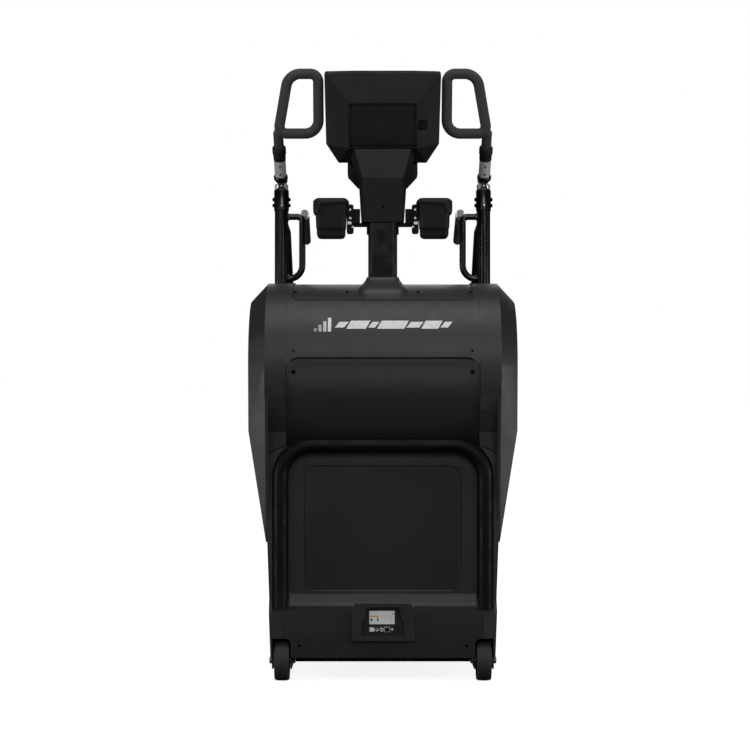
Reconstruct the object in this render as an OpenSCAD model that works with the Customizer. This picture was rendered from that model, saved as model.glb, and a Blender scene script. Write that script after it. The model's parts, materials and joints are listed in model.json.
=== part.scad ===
// Revolving-stair climber for a gym, in millimetres.
// X runs across the machine, -Y is the console end, +Y is the end a user steps on from, +Z is up.
// The origin is on the floor, under the middle of the machine.

/* [Staircase] */
// Height gained from one step to the next
step_rise = 203.2; // [150:0.1:230]
// Horizontal distance from one step to the next
step_run = 254; // [220:1:300]
// Width of a tread
tread_w = 540; // [400:5:620]
// Thickness of a tread
tread_t = 22; // [16:1:30]
// Thickness of a riser
riser_t = 10; // [6:1:14]
// Height of a tread's top above its axle
tread_lift = 30; // [26:1:36]
// Height of the gap left under each riser
riser_gap = 30; // [26:1:40]
// Height of the upper shaft above the floor
upper_z = 950; // [900:5:1000]
// Distance of the upper shaft from the middle of the machine, towards the console end
upper_y = 470; // [430:5:480]

/* [Body] */
// Overall length
body_len = 1470; // [1400:10:1600]
// Width over the drum
body_w = 862; // [840:2:960]
// Width between the outer creases of the drum
slab_w = 752; // [720:2:800]
// Width of the front covers between their seams
cover_w = 617; // [580:1:630]
// Height of the drum's top
drum_top = 1280; // [1260:5:1340]
// Height of the drum's foremost line
nose_z = 1010; // [980:5:1030]
// Radius of the drum above its foremost line
drum_r = 270; // [250:1:300]
// Radius of the drum below its foremost line
under_r = 365; // [330:1:400]
// Wall of every plastic shell
shell_t = 4; // [3:0.5:5]
// Height of the ledge above the front bumper
ledge_z = 223; // [200:1:240]
// Height of the body's underside
skirt_z = 78; // [70:1:90]
// Height of the entry platform
entry_z = 250; // [230:1:270]

/* [Front hoop] */
// Diameter of the hoop's tube
hoop_d = 45; // [38:0.5:50]
// Distance between the hoop's two legs, centre to centre
hoop_w = 656; // [620:2:670]
// Height of the hoop's top, at the tube's centre
hoop_z = 754; // [700:1:770]
// Bend radius of the hoop
hoop_bend = 103; // [80:1:130]

/* [Handrails] */
// Diameter of the uprights
upright_d = 46; // [40:1:50]
// Distance between the uprights, centre to centre
upright_w = 680; // [660:2:700]
// Diameter of the sloping rails
rail_d = 36; // [30:1:40]
// Height of the clamp sleeves' top
sleeve_z = 1600; // [1560:5:1640]
// Diameter of the push handles' padded tube
push_d = 35; // [30:1:38]
// Diameter of the bent tube of the upright grips
grip_d = 22; // [19:1:25]
// Diameter over the pulse grips
pulse_d = 31; // [28:0.5:36]

/* [Console] */
// Width of the mast
mast_w = 95; // [85:1:110]
// Depth of the mast
mast_depth = 70; // [60:1:80]
// Width of the console
console_w = 382; // [350:2:386]
// Height of the console along its own face
console_h = 302; // [290:2:320]
// Lean of the console away from the user, in degrees
console_tilt = 22; // [15:1:28]
// Height of the console's middle
console_z = 1823; // [1800:1:1850]

/* [Running gear] */
// Radius of the transport wheels
wheel_r = 65; // [55:1:70]
// Width of the transport wheels
wheel_w = 48; // [40:1:50]
// Diameter of the wheel axles
axle_d = 16; // [12:1:18]
// Diameter of the two main shafts
shaft_d = 30; // [25:1:35]
// Speed-up of the chain drive
chain_ratio = 2.5; // [2:0.1:3]
// Speed-up of the belt drive
belt_ratio = 4; // [3:0.1:4.5]

/* [Hidden] */
$fn = 64;
HULL_FN = 32;
eps = 0.01;

// Staircase, worked out from the rise and run of a step
slope = atan2(step_rise, step_run);
pitch = norm([step_rise, step_run]);
wrap_r = pitch / PI;                 // one pitch of chain goes half round a sprocket
up_dir = [-cos(slope), sin(slope)];  // up the stairs, in Y and Z
out_dir = [sin(slope), cos(slope)];  // square to the stairs, towards the user
straight = 3 * pitch;
upper = [-upper_y, upper_z];
lower = upper - straight * up_dir;

// What lies side by side across the machine, from the treads outwards
side_gap = 4;
skirt_x = tread_w / 2 + side_gap;
roller_x = skirt_x + shell_t + 2;
roller_w = 12;
chain_x = roller_x + roller_w + 2;
chain_w = 8;
plate_x = chain_x + chain_w + 2;
plate_t = 6;
rail_x = plate_x + plate_t;
frame_tube = 40;
frame_z = 72;
frame_top = frame_z + frame_tube;
cross_gap = 1;                       // clearance where a cross tube passes through a sheet

// Step, about its own axle
step_axle_r = 8;
roller_r = 17;
tread_back = -step_run / 2 + 12;
tread_nose = step_run / 2;
riser_foot = tread_lift - step_rise + riser_gap;
fit = 0.05;                          // radial clearance of a running fit

// Body outline, in Y and Z
front_y = -body_len / 2;
rear_y = body_len / 2;
top_rear_y = -232;
drum_c = [front_y + drum_r, nose_z];
under_c = [front_y + under_r, nose_z];
lip_y = -655;
ledge_y = -708;
chamfer = (body_w - slab_w) / 2;
step_back = 6;                       // how far the middle cover lies behind the upper one
shoulder_z = nose_z + 25;
shoulder_r = 44;
tuck_z = 752;
slope_end = [540, 560];
rear_low = [600, 443];
rear_wall_y = 640;
shroud_foot = 60;
dash_foot = [-262, 1088];

// Front hoop and the panel inside it
hoop_y = -680;
panel_y = -634;
pad_y = -652;
pad_gap = 3;
recess = [506, 404];
recess_mid_z = 487;
recess_depth = 8;

// Transport wheels
wheel_x = 322.5;
wheel_y = -655;
wheel_gap = 3;
well_z = 140;
bracket_t = 5;
wheel_bracket_x = wheel_x + wheel_w / 2 + wheel_gap + bracket_t;

// Mast, neck and console
mast_y = -500;
mast_top = 1650;
beam_z = 1195;
beam_h = 40;
neck_z = [1478, 1620, 1716];
console_y = -480;
bezel_t = 40;
back_depth = 40;
back_mid = -14;
window_mid = 16;

// Handrails
upright_x = upright_w / 2;
upright_y = -330;
rail_side_x = 328;
rail_foot_y = 520;
grip_x = 270;
grip_z = [drum_top + 22, 1511];
upright_foot = 460;
pulse_from = [262, -324, 1522];
pulse_to = [272, 150, 1462];
sleeve_h = 70;
push_lean = 15;
push_low = [346, -440, 1778];
push_in_x = 212;
push_top_x = 310;
push_h = 197;

// Drive
drive_x = rail_x + 24;
drive_w = 8;
drive_r = 85;
chain_t = 6;
jack = [-400, 450];
jack_r = drive_r / chain_ratio;
belt_x = 252;
belt_w = 16;
big_pulley_r = 110;
small_pulley_r = big_pulley_r / belt_ratio;
alt = [-330, 250];
alt_r = 70;
flywheel_r = 105;

// Shared helpers
function unit(v) = v / norm(v);
function side_of(v) = unit(cross(v, abs(v[2]) < 0.9 ? [0, 0, 1] : [1, 0, 0]));

// A point given as distance up the stairs and distance out from the line between the shafts
function on_stairs(along, out) = lower + along * up_dir + out * out_dir;

// An outline in Y and Z, extruded from x0 to x1
module across(x0, x1) {
  translate([x0, 0, 0]) rotate([90, 0, 90]) linear_extrude(x1 - x0) children();
}

// An outline in X and Z, extruded from y0 to y1
module lengthwise(y0, y1) {
  translate([0, y1, 0]) rotate([90, 0, 0]) linear_extrude(y1 - y0) children();
}

module both_sides() {
  children();
  mirror([1, 0, 0]) children();
}

module box(lo, hi) {
  translate(lo) cube(hi - lo);
}

// A disc or ring whose axis runs across the machine, centred on c in Y and Z
module disc(c, x0, x1, r, bore = 0) {
  translate([x0, c[0], c[1]]) rotate([0, 90, 0]) difference() {
    cylinder(r = r, h = x1 - x0);
    if (bore > 0) translate([0, 0, -1]) cylinder(r = bore, h = x1 - x0 + 2);
  }
}

module rounded(size, r, fn = $fn) {
  union() {
    square([size[0] - 2 * r, size[1]], center = true);
    square([size[0], size[1] - 2 * r], center = true);
    for (sx = [-1, 1], sy = [-1, 1])
      translate([sx * (size[0] / 2 - r), sy * (size[1] / 2 - r)]) circle(r, $fn = fn);
  }
}

// Straight round bar from p to q
module bar(p, q, r) {
  ez = unit(q - p);
  ex = side_of(ez);
  ey = cross(ez, ex);
  multmatrix([
    [ex[0], ey[0], ez[0], p[0]], [ex[1], ey[1], ez[1], p[1]], [ex[2], ey[2], ez[2], p[2]], [0, 0, 0, 1]
  ]) rotate([0, 0, bar_seam]) cylinder(r = r, h = norm(q - p));
}

// Distance from a corner to where its bend starts
function bend_reach(a, b, c, bend) = bend / tan(acos(unit(a - b) * unit(c - b)) / 2);

// Bend at corner b, between the runs towards a and c
module bend_at(a, b, c, bend, r) {
  ta = unit(a - b);
  tc = unit(c - b);
  half = acos(ta * tc) / 2;
  centre = b + unit(ta + tc) * bend / sin(half);
  start = b + ta * bend / tan(half);
  ex = unit(start - centre);
  ey = -ta;
  ez = cross(ex, ey);
  multmatrix([
    [ex[0], ey[0], ez[0], centre[0]], [ex[1], ey[1], ez[1], centre[1]], [ex[2], ey[2], ez[2], centre[2]],
    [0, 0, 0, 1]
  ]) rotate_extrude(angle = 180 - 2 * half) translate([bend, 0]) circle(r);
}

// Bends are this much thicker than the runs, and the runs reach this far into them
bend_swell = 0.15;
bend_lap = 1;
// Turns the bars' seams away from the bends' own
bar_seam = 37;

// Bent round bar through the points, with a bend radius at each inner point
module bent_bar(pts, bends, r) {
  last = len(pts) - 1;
  reach = [
    for (i = [0:last])
      i == 0 || i == last ? 0 : bend_reach(pts[i - 1], pts[i], pts[i + 1], bends[i - 1]) - bend_lap
  ];
  union() {
    for (i = [0:last - 1]) {
      d = unit(pts[i + 1] - pts[i]);
      bar(pts[i] + d * reach[i], pts[i + 1] - d * reach[i + 1], r);
    }
    for (i = [1:last - 1]) bend_at(pts[i - 1], pts[i], pts[i + 1], bends[i - 1], r + bend_swell);
  }
}

// Closed loop of round bar through the points
module bar_loop(pts, bends, r) {
  n = len(pts);
  reach = [
    for (i = [0:n - 1]) bend_reach(pts[(i + n - 1) % n], pts[i], pts[(i + 1) % n], bends[i]) - bend_lap
  ];
  union() {
    for (i = [0:n - 1]) {
      j = (i + 1) % n;
      d = unit(pts[j] - pts[i]);
      bar(pts[i] + d * reach[i], pts[j] - d * reach[j], r);
      bend_at(pts[(i + n - 1) % n], pts[i], pts[j], bends[i], r + bend_swell);
    }
  }
}

// --- Steel frame ---

module base_frame() {
  color("dimgray") union() {
    both_sides() box([rail_x, -560, frame_z], [rail_x + frame_tube, rear_wall_y - 6, frame_top]);
    for (y = cross_y)
      box([-rail_x - frame_tube, y, frame_z], [rail_x + frame_tube, y + frame_tube, frame_top]);
    both_sides() {
      for (x = [wheel_x - wheel_w / 2 - wheel_gap - bracket_t, wheel_x + wheel_w / 2 + wheel_gap])
        difference() {
          box([x, wheel_y - 24, 40], [x + bracket_t, -579, frame_top - 2]);
          disc([wheel_y, wheel_r], x - 1, x + bracket_t + 1, axle_d / 2 + fit);
        }
      box([hoop_w / 2 - 30, hoop_y - 19, frame_top + 32], [hoop_w / 2 - 12, -561, frame_top + 38]);
      box([hoop_w / 2 - 30, -579, frame_top - 1], [hoop_w / 2 - 12, -561, frame_top + 33]);
    }
  }
}

cross_y = [-580, -100, rear_wall_y - 46];

plate_outline = [
  [-538, frame_z], [590, frame_z], [590, 300], [470, 560], [-226, 1200], [-270, 1240], [-560, 1240],
  [-640, 1120], [-640, 900], [-585, 700], [-560, frame_top + 42], [-538, frame_top + 42]
];

module side_plate() {
  color("gray") difference() {
    across(plate_x, plate_x + plate_t) polygon(plate_outline);
    for (c = [upper, lower]) disc(c, plate_x - 1, rail_x + 1, shaft_d / 2 + 3);
    disc(jack, plate_x - 1, rail_x + 1, 15);
    for (along = [0.25, 0.5, 0.75])
      disc(on_stairs(along * straight, -10), plate_x - 1, rail_x + 1, 62);
    disc([-60, 240], plate_x - 1, rail_x + 1, 70);
    cross_tube_gaps(plate_x - 1, rail_x + 1);
  }
}

// Room for the base frame's cross tubes in the sheets that they pass through
module cross_tube_gaps(x0, x1) {
  for (y = cross_y)
    box([x0, y - cross_gap, frame_z - cross_gap], [x1, y + frame_tube + cross_gap, frame_top + cross_gap]);
}

module top_beam() {
  color("dimgray") difference() {
    box([-plate_x, mast_y - 35, beam_z], [plate_x, mast_y + 35, beam_z + beam_h]);
    box([-plate_x - 1, mast_y - 31, beam_z + 4], [plate_x + 1, mast_y + 31, beam_z + beam_h - 4]);
  }
}

module front_hoop() {
  x = hoop_w / 2;
  foot = frame_top + 38;
  color("black") difference() {
    bent_bar([[-x, hoop_y, foot], [-x, hoop_y, hoop_z], [x, hoop_y, hoop_z], [x, hoop_y, foot]],
      [hoop_bend, hoop_bend], hoop_d / 2);
    bent_bar(
      [[-x, hoop_y, foot - 1], [-x, hoop_y, hoop_z], [x, hoop_y, hoop_z], [x, hoop_y, foot - 1]],
      [hoop_bend, hoop_bend], hoop_d / 2 - 2.5
    );
  }
}

module levelling_feet() {
  color("black") both_sides() translate([rail_x + frame_tube / 2, 600, 0]) union() {
    cylinder(r1 = 26, r2 = 20, h = 14);
    cylinder(r = 7, h = frame_z);
    translate([0, 0, frame_z - 10]) cylinder(r = 12, h = 10, $fn = 6);
  }
}

// --- Transport wheels ---

module wheel(side) {
  x0 = side * wheel_x - wheel_w / 2;
  x1 = x0 + wheel_w;
  color("dimgray") difference() {
    translate([x0, wheel_y, wheel_r]) rotate([0, 90, 0]) rotate_extrude() polygon([
      [axle_d / 2 + fit, 0], [18, 0], [20, 5], [50, 5], [53, 1], [wheel_r - 3, 1], [wheel_r - 0.6, 5],
      [wheel_r, wheel_w / 2], [wheel_r - 0.6, wheel_w - 5], [wheel_r - 3, wheel_w - 1], [53, wheel_w - 1],
      [50, wheel_w - 5], [20, wheel_w - 5], [18, wheel_w], [axle_d / 2 + fit, wheel_w]
    ]);
  }
}

module wheel_axle_bolts() {
  inner = wheel_x - wheel_w / 2 - wheel_gap - bracket_t;
  outer = wheel_bracket_x;
  color("silver") both_sides() union() {
    disc([wheel_y, wheel_r], inner - 12, outer, axle_d / 2);
    translate([outer, wheel_y, wheel_r]) rotate([0, 90, 0]) cylinder(r = 12, h = 9, $fn = 6);
    translate([inner - 10, wheel_y, wheel_r]) rotate([0, 90, 0]) cylinder(r = 12, h = 10, $fn = 6);
  }
}

// --- Covers ---

// The drum's outline in Y and Z, drawn in by inset, down to the tuck and back to the dash
module drum_outline(inset) {
  union() {
    intersection() {
      translate(drum_c) circle(drum_r - inset);
      translate([front_y - 1, nose_z]) square([drum_r + 1, drum_r + 1]);
    }
    translate([drum_c[0] - eps, nose_z])
      square([top_rear_y - drum_c[0] - inset, drum_top - nose_z - inset]);
    intersection() {
      translate(under_c) circle(under_r - inset);
      translate([front_y - 1, tuck_z]) square([under_r + 1, nose_z - tuck_z + eps]);
    }
    translate([under_c[0] - eps, tuck_z])
      square([top_rear_y - under_c[0] - inset, nose_z - tuck_z + 2 * eps]);
  }
}

// What the middle cover fills as seen from the front
module middle_window(grow) {
  w = cover_w / 2 + 2 * grow;
  union() {
    translate([-w, tuck_z - 1]) square([2 * w, shoulder_z - shoulder_r - tuck_z + 1]);
    translate([-w + shoulder_r, tuck_z - 1]) square([2 * (w - shoulder_r), shoulder_z - tuck_z + 1 + grow]);
    for (s = [-1, 1]) translate([s * (w - shoulder_r), shoulder_z - shoulder_r + grow]) circle(shoulder_r);
  }
}

screw_r = 4;
upper_screws = [[283, -590], [115, -590]];
face_screws = [[283, 1056], [283, 988]];

module front_upper_cover() {
  w = cover_w / 2;
  color("#303030") difference() {
    across(-w, w) difference() {
      drum_outline(0);
      drum_outline(shell_t);
      translate([drum_c[0], tuck_z - 1]) square([800, nose_z - tuck_z + 200]);
      translate([top_rear_y - shell_t - 20, tuck_z - 1]) square([100, drum_top - tuck_z - shell_t + 1]);
    }
    lengthwise(front_y - 1, drum_c[0]) middle_window(0);
    box([-w - 1, front_y - 1, tuck_z - 1], [w + 1, -380, shoulder_z - shoulder_r]);
    box([-mast_w / 2 - 2, mast_y - mast_depth / 2 - 2, 1200],
      [mast_w / 2 + 2, mast_y + mast_depth / 2 + 2, drum_top + 1]);
    for (s = [-1, 1], p = upper_screws) translate([s * p[0], p[1], 1200]) cylinder(r = screw_r, h = 100);
    for (s = [-1, 1]) translate([s * face_screws[0][0], front_y - 1, face_screws[0][1]])
      rotate([-90, 0, 0]) cylinder(r = screw_r, h = 60);
    // shallow band along the top, in front of the mast
    intersection() {
      across(-300, 300) difference() {
        drum_outline(-1);
        drum_outline(1.5);
      }
      lengthwise(front_y, drum_c[0] - 15) union() {
        translate([-275, 1222]) square([550, 80]);
        translate([-300, 1247]) square([600, 60]);
        for (s = [-1, 1]) translate([s * 275, 1247]) circle(25);
      }
    }
  }
}

module front_middle_cover() {
  w = cover_w / 2;
  color("#262626") difference() {
    across(-w, w) difference() {
      drum_outline(step_back);
      drum_outline(step_back + shell_t);
      translate([-560, tuck_z - 1]) square([800, 800]);
    }
    difference() {
      box([-w - 1, front_y - 1, tuck_z - 2], [w + 1, -300, drum_top + 1]);
      lengthwise(front_y - 2, -299) middle_window(-0.5);
    }
    for (s = [-1, 1]) translate([s * face_screws[1][0], front_y - 1, face_screws[1][1]])
      rotate([-90, 0, 0]) cylinder(r = screw_r, h = 60);
  }
}

// Outline inside the hoop's tube, as seen from the front
module inside_hoop(gap, foot) {
  half = hoop_w / 2 - hoop_d / 2 - gap;
  top = hoop_z - hoop_d / 2 - gap;
  r = hoop_bend - hoop_d / 2 - gap;
  union() {
    translate([-half, foot]) square([2 * half, top - r - foot]);
    translate([-half + r, foot]) square([2 * (half - r), top - foot]);
    for (s = [-1, 1]) translate([s * (half - r), top - r]) circle(r);
  }
}

module panel_slope() {
  difference() {
    polygon([
      [panel_y - eps, 310], [pad_y, 310], [ledge_y, ledge_z + 6], [ledge_y, ledge_z],
      [panel_y - eps, ledge_z]
    ]);
    translate([ledge_y - 12, 332]) circle(r = 104);
  }
}

module front_lower_panel() {
  half = hoop_w / 2 + hoop_d / 2 + pad_gap;
  color("#242424") difference() {
    union() {
      lengthwise(panel_y, panel_y + shell_t) difference() {
        translate([-half, ledge_z]) square([2 * half, tuck_z - ledge_z]);
      }
      difference() {
        lengthwise(pad_y, panel_y + eps) inside_hoop(pad_gap, ledge_z + 6);
        lengthwise(pad_y + shell_t + recess_depth, panel_y + 1)
          inside_hoop(pad_gap + shell_t, ledge_z + 40);
        lengthwise(pad_y - 1, pad_y + recess_depth) translate([0, recess_mid_z]) rounded(recess, 40);
      }
      across(-half, half) panel_slope();
    }
    both_sides() translate([hoop_w / 2, hoop_y, ledge_z - 20]) cylinder(r = hoop_d / 2 + 1, h = 200);
    across(-half + shell_t, half - shell_t)
      polygon([
        [panel_y + 1, ledge_z - 1], [panel_y + 1, 250], [pad_y - 12, 240],
        [ledge_y + 12, ledge_z + 2], [ledge_y + 12, ledge_z - 1]
      ]);
    box([-inlet_w / 2 - 0.3, ledge_y - 1, ledge_z - 1], [inlet_w / 2 + 0.3, panel_y - 14, inlet_top + 0.3]);
    for (s = [-1, 1]) translate([s * 253, pad_y - 1, 684]) rotate([-90, 0, 0]) cylinder(r = 2.5, h = 40);
  }
}

bumper_half = 321;

module front_bumper() {
  color("#222222") difference() {
    across(-bumper_half, bumper_half) difference() {
      polygon([
        [ledge_y, ledge_z - eps], [panel_y, ledge_z - eps], [panel_y, skirt_z], [ledge_y + 6, skirt_z]
      ]);
      polygon([
        [ledge_y + shell_t, ledge_z - shell_t], [panel_y + 1, ledge_z - shell_t],
        [panel_y + 1, skirt_z - 1], [ledge_y + shell_t + 6, skirt_z - 1]
      ]);
    }
    both_sides() wheel_well();
    both_sides() translate([hoop_w / 2, hoop_y, 100]) cylinder(r = hoop_d / 2 + 1, h = 200);
    box([-inlet_w / 2 - 0.3, ledge_y - 1, inlet_foot - 0.3], [inlet_w / 2 + 0.3, panel_y + 1, ledge_z + 1]);
    for (s = [-1, 1]) translate([s * 266, ledge_y - 1, 118]) rotate([-90, 0, 0]) cylinder(r = 3, h = 20);
  }
}

module wheel_well() {
  lengthwise(ledge_y - 30, wheel_y + wheel_r + 12) union() {
    translate([293, skirt_z - 40]) square([356 - 293 - shell_t, well_z - 20 - skirt_z + 40]);
    translate([313, skirt_z - 40]) square([356 - 313 - shell_t, well_z - skirt_z + 40]);
    translate([313, well_z - 20]) circle(20);
  }
}

// Outline of the side shroud's inner slab, in Y and Z
module shroud_outline(inset) {
  union() {
    intersection() {
      drum_outline(inset);
      translate([-2000, tuck_z]) square([4000, 2000]);
    }
    polygon([
      [lip_y + inset, ledge_z + 40], [lip_y + inset, tuck_z + 2], [-600, tuck_z + 60],
      [top_rear_y - inset, drum_top - inset], [slope_end[0] - inset, slope_end[1] - inset * 1.2],
      [rear_low[0] - inset, rear_low[1]], [rear_wall_y - inset, entry_z],
        [rear_wall_y - inset, shroud_foot + inset],
      [-560, shroud_foot + inset], [-572, skirt_z + inset], [ledge_y + 6 + inset, skirt_z + inset],
      [ledge_y + inset, ledge_z - inset]
    ]);
  }
}

// Widths of the slab as seen from the front
module shroud_front(inset, x0) {
  polygon([
    [x0, shroud_foot - 1], [356 - inset, shroud_foot - 1], [358 - inset, skirt_z], [371 - inset, 443],
    [slab_w / 2 - inset, 760], [slab_w / 2 - inset, drum_top + 1], [x0, drum_top + 1]
  ]);
}

// The flared outer part of a side shroud, from the slab out to the full width
module flare(inset) {
  face = chamfer + 5;
  hull() {
    across(slab_w / 2 - 12, slab_w / 2 - 1) union() {
      intersection() {
        translate(drum_c) circle(drum_r - inset, $fn = HULL_FN * 3);
        translate([front_y - 1, nose_z]) square([drum_r + 1, drum_r + 1]);
      }
      polygon([
        [lip_y + inset, rear_low[1] + inset], [front_y + inset, nose_z], [drum_c[0], nose_z],
        [drum_c[0], drum_top - inset], [top_rear_y - inset * 0.7, drum_top - inset],
        [slope_end[0] - inset, slope_end[1] - inset], [rear_low[0] - inset, rear_low[1] + inset]
      ]);
    }
    across(body_w / 2 - inset - 2, body_w / 2 - inset) union() {
      intersection() {
        translate(drum_c) circle(drum_r - face, $fn = HULL_FN * 3);
        translate([front_y - 1, nose_z]) square([drum_r + 1, drum_r + 1]);
      }
      polygon([
        [front_y + face + 14, 800], [front_y + face, nose_z], [drum_c[0], nose_z],
          [drum_c[0], drum_top - face],
        [top_rear_y - face * 0.5, drum_top - face], [top_rear_y + 410, 812], [top_rear_y + 395, 800]
      ]);
    }
  }
}

// Inner wall and cap beside the stairs, seen from the side
module skirt_outline() {
  low = wrap_r + 12;
  a = on_stairs(straight + 40, low);
  b = on_stairs(-60, low);
  polygon([
    [top_rear_y + 1, drum_top - 2], [slope_end[0], slope_end[1] - 1], [rear_low[0] - 1, rear_low[1]],
    [rear_wall_y - 2, entry_z], [rear_wall_y - 2, shroud_foot + 20], [lower[0] + 236, shroud_foot + 20],
    [lower[0] + 236, lower[1]], [b[0] + 32, b[1]], a, [dash_foot[0] - 2, dash_foot[1]],
      [top_rear_y - 6, drum_top - 60]
  ]);
}

module side_shroud() {
  color("#2a2a2a") difference() {
    union() {
      difference() {
        union() {
          intersection() {
            across(cover_w / 2 + 0.5, slab_w / 2) shroud_outline(0);
            lengthwise(-1000, 1000) shroud_front(0, 300);
          }
          flare(0);
        }
        intersection() {
          across(cover_w / 2 - 1, slab_w / 2 + 1) shroud_outline(shell_t);
          lengthwise(-1000, 1000) shroud_front(shell_t, 300);
        }
        flare(shell_t);
        // the front covers reach further out below the tuck
        box([0, -800, ledge_z], [hoop_w / 2 + hoop_d / 2 + pad_gap + 0.5, panel_y + 1, tuck_z]);
        box([0, -800, 0], [bumper_half + 0.5, panel_y + 1, ledge_z + 0.1]);
        box([0, -800, ledge_z - 0.1], [hoop_w / 2 + hoop_d / 2 + pad_gap + 0.5, panel_y + 1, ledge_z + 30]);
      }
      // cap over the chain and skirt beside the treads
      difference() {
        across(skirt_x, cover_w / 2 + 1) skirt_outline();
        across(skirt_x + shell_t, cover_w / 2 + 2) translate([-2, -shell_t * 1.4]) skirt_cut();
      }
    }
    wheel_well();
    translate([upright_x, upright_y, 1100]) cylinder(r = upright_d / 2 + 1.5, h = 300);
    translate([rail_side_x, rail_foot_y, 400]) cylinder(r = rail_d / 2 + 1.5, h = 400);
    for (p = [[-560, 1085], [-560, 870]]) disc(p, body_w / 2 - 60, body_w / 2 + 5, 4);
    box([rail_x, cross_y[0] - 2, 50], [rail_x + frame_tube + 4, rear_wall_y - 4, frame_top + 1]);
    box([skirt_x - 1, cross_y[2] - cross_gap, 50],
      [rail_x + 1, cross_y[2] + frame_tube + cross_gap, frame_top + cross_gap]);
    box([cover_w / 2 - 1, cross_y[0] - 2, 50], [rail_x + 1, cross_y[0] + frame_tube + 2, frame_top + 1]);
    box([wheel_x, wheel_y - 26, 30], [wheel_bracket_x + 1, cross_y[0] + 2, frame_top]);
    translate([hoop_w / 2, hoop_y, 100]) cylinder(r = hoop_d / 2 + 1, h = 200);
  }
}

// What is cut from behind the skirt, leaving the cap along its top edge
module skirt_cut() {
  polygon([
    [-700, 40], [-700, drum_top - 60], [top_rear_y - 60, drum_top], [top_rear_y, drum_top - 2],
    [slope_end[0] - 2, slope_end[1] - 2], [rear_low[0] - 4, rear_low[1]], [rear_wall_y - 6, entry_z],
      [rear_wall_y - 6, 40]
  ]);
}

module dash_panel() {
  w = cover_w / 2;
  color("#2b2b2b") union() {
    across(-skirt_x + 0.5, skirt_x - 0.5)
      polygon([
        [top_rear_y - 5, drum_top - shell_t - eps], [top_rear_y - 1, drum_top - shell_t - eps],
          [top_rear_y - 1, 1220],
        [dash_foot[0] + 4, dash_foot[1]], [dash_foot[0] - 14, dash_foot[1] - 2],
          [dash_foot[0] - 14, dash_foot[1] + 2], [dash_foot[0], dash_foot[1] + 4],
        [top_rear_y - 5, 1220]
      ]);
  }
}

module entry_platform() {
  inner_y = lower[0] + 214;
  wide = rail_x + frame_tube + 20;
  color("#262626") difference() {
    union() {
      box([-skirt_x + 1, inner_y, frame_top], [skirt_x - 1, rear_wall_y + 10, entry_z]);
      box([-wide, rear_wall_y + 2, 24], [wide, rear_y, entry_z]);
    }
    box([-skirt_x + 6, inner_y - 1, 100], [skirt_x - 6, rear_wall_y + 11, entry_z - 6]);
    box([-wide + 5, rear_wall_y + 1, 0], [wide - 5, rear_y - 5, entry_z - 6]);
  }
}

module mast_boot() {
  hw = mast_w / 2 + 0.5;
  hd = mast_depth / 2 + 0.5;
  front = mast_y - 120;
  back = mast_y + 66;
  color("#383838") difference() {
    hull() {
      box([-66, front, 1200], [66, back, 1236]);
      box([-80, front + 16, 1200], [80, back - 10, 1248]);
      box([-72, front + 26, 1200], [72, back - 14, 1262]);
      box([-hw - 5, mast_y - hd - 7, 1280], [hw + 5, mast_y + hd + 5, 1290]);
    }
    box([-hw, mast_y - hd, 1100], [hw, mast_y + hd, 1400]);
    across(-100, 100) drum_outline(-0.8);
  }
}

// --- Power inlet ---

inlet_w = 200;
inlet_foot = 134;
inlet_top = 249.5;
inlet_y = ledge_y - 10;

module inlet_panel() {
  color("#202020") difference() {
    union() {
      lengthwise(inlet_y, inlet_y + 30) polygon([
        [-inlet_w / 2, inlet_foot], [inlet_w / 2, inlet_foot], [inlet_w / 2, inlet_top - 26],
        [inlet_w / 2 - 10, inlet_top], [-inlet_w / 2 + 10, inlet_top], [-inlet_w / 2, inlet_top - 26]
      ]);
    }
    lengthwise(inlet_y - 1, inlet_y + 12) union() {
      translate([-68, 150]) square([136, 44]);
      polygon([[-62, 193], [62, 193], [50, 240], [-50, 240]]);
    }
    // network, sound, aerial and power sockets, and the hole of the switch
    box([-43, inlet_y, port_z - 6.5], [-27, inlet_y + 26, port_z + 6.5]);
    for (p = [[-19, 5.2], [-4, 6.5], [30, 4.4]])
      translate([p[0], inlet_y, port_z]) rotate([-90, 0, 0]) cylinder(r = p[1], h = 26);
    box([5, inlet_y, port_z - 7.5], [22, inlet_y + 26, port_z + 7.5]);
  }
}

port_z = 169;

module power_switch() {
  color("black") union() {
    box([5.5, inlet_y + 9, port_z - 7], [21.5, inlet_y + 20, port_z + 7]);
  }
}

module screw_head(r) {
  union() {
    cylinder(r = r, h = 3);
    translate([0, 0, -8]) cylinder(r = r * 0.5, h = 8.5);
  }
}

module cover_screws() {
  color("#101010") both_sides() {
    for (p = upper_screws) {
      dy = p[1] - drum_c[0];
      z = nose_z + sqrt(pow(drum_r - shell_t, 2) - dy * dy);
      translate([p[0], p[1], z - 9]) screw_head(screw_r - 0.3);
    }
    translate([face_screws[0][0], front_y + shell_t + 6, face_screws[0][1]]) rotate([90, 0, 0])
      screw_head(screw_r - 0.3);
    translate([face_screws[1][0], front_y + step_back + 4.5, face_screws[1][1]]) rotate([90, 0, 0])
      screw_head(screw_r - 0.3);
    translate([266, ledge_y + 7, 118]) rotate([90, 0, 0]) screw_head(2.7);
    translate([253, pad_y + recess_depth + 2, 684]) rotate([90, 0, 0]) screw_head(2.2);
  }
}

// --- Mast and console ---

module mast() {
  color("black") translate([0, mast_y, beam_z + beam_h]) difference() {
    linear_extrude(mast_top - beam_z - beam_h) difference() {
      rounded([mast_w, mast_depth], 16);
      rounded([mast_w - 6, mast_depth - 6], 13);
    }
  }
}

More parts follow.
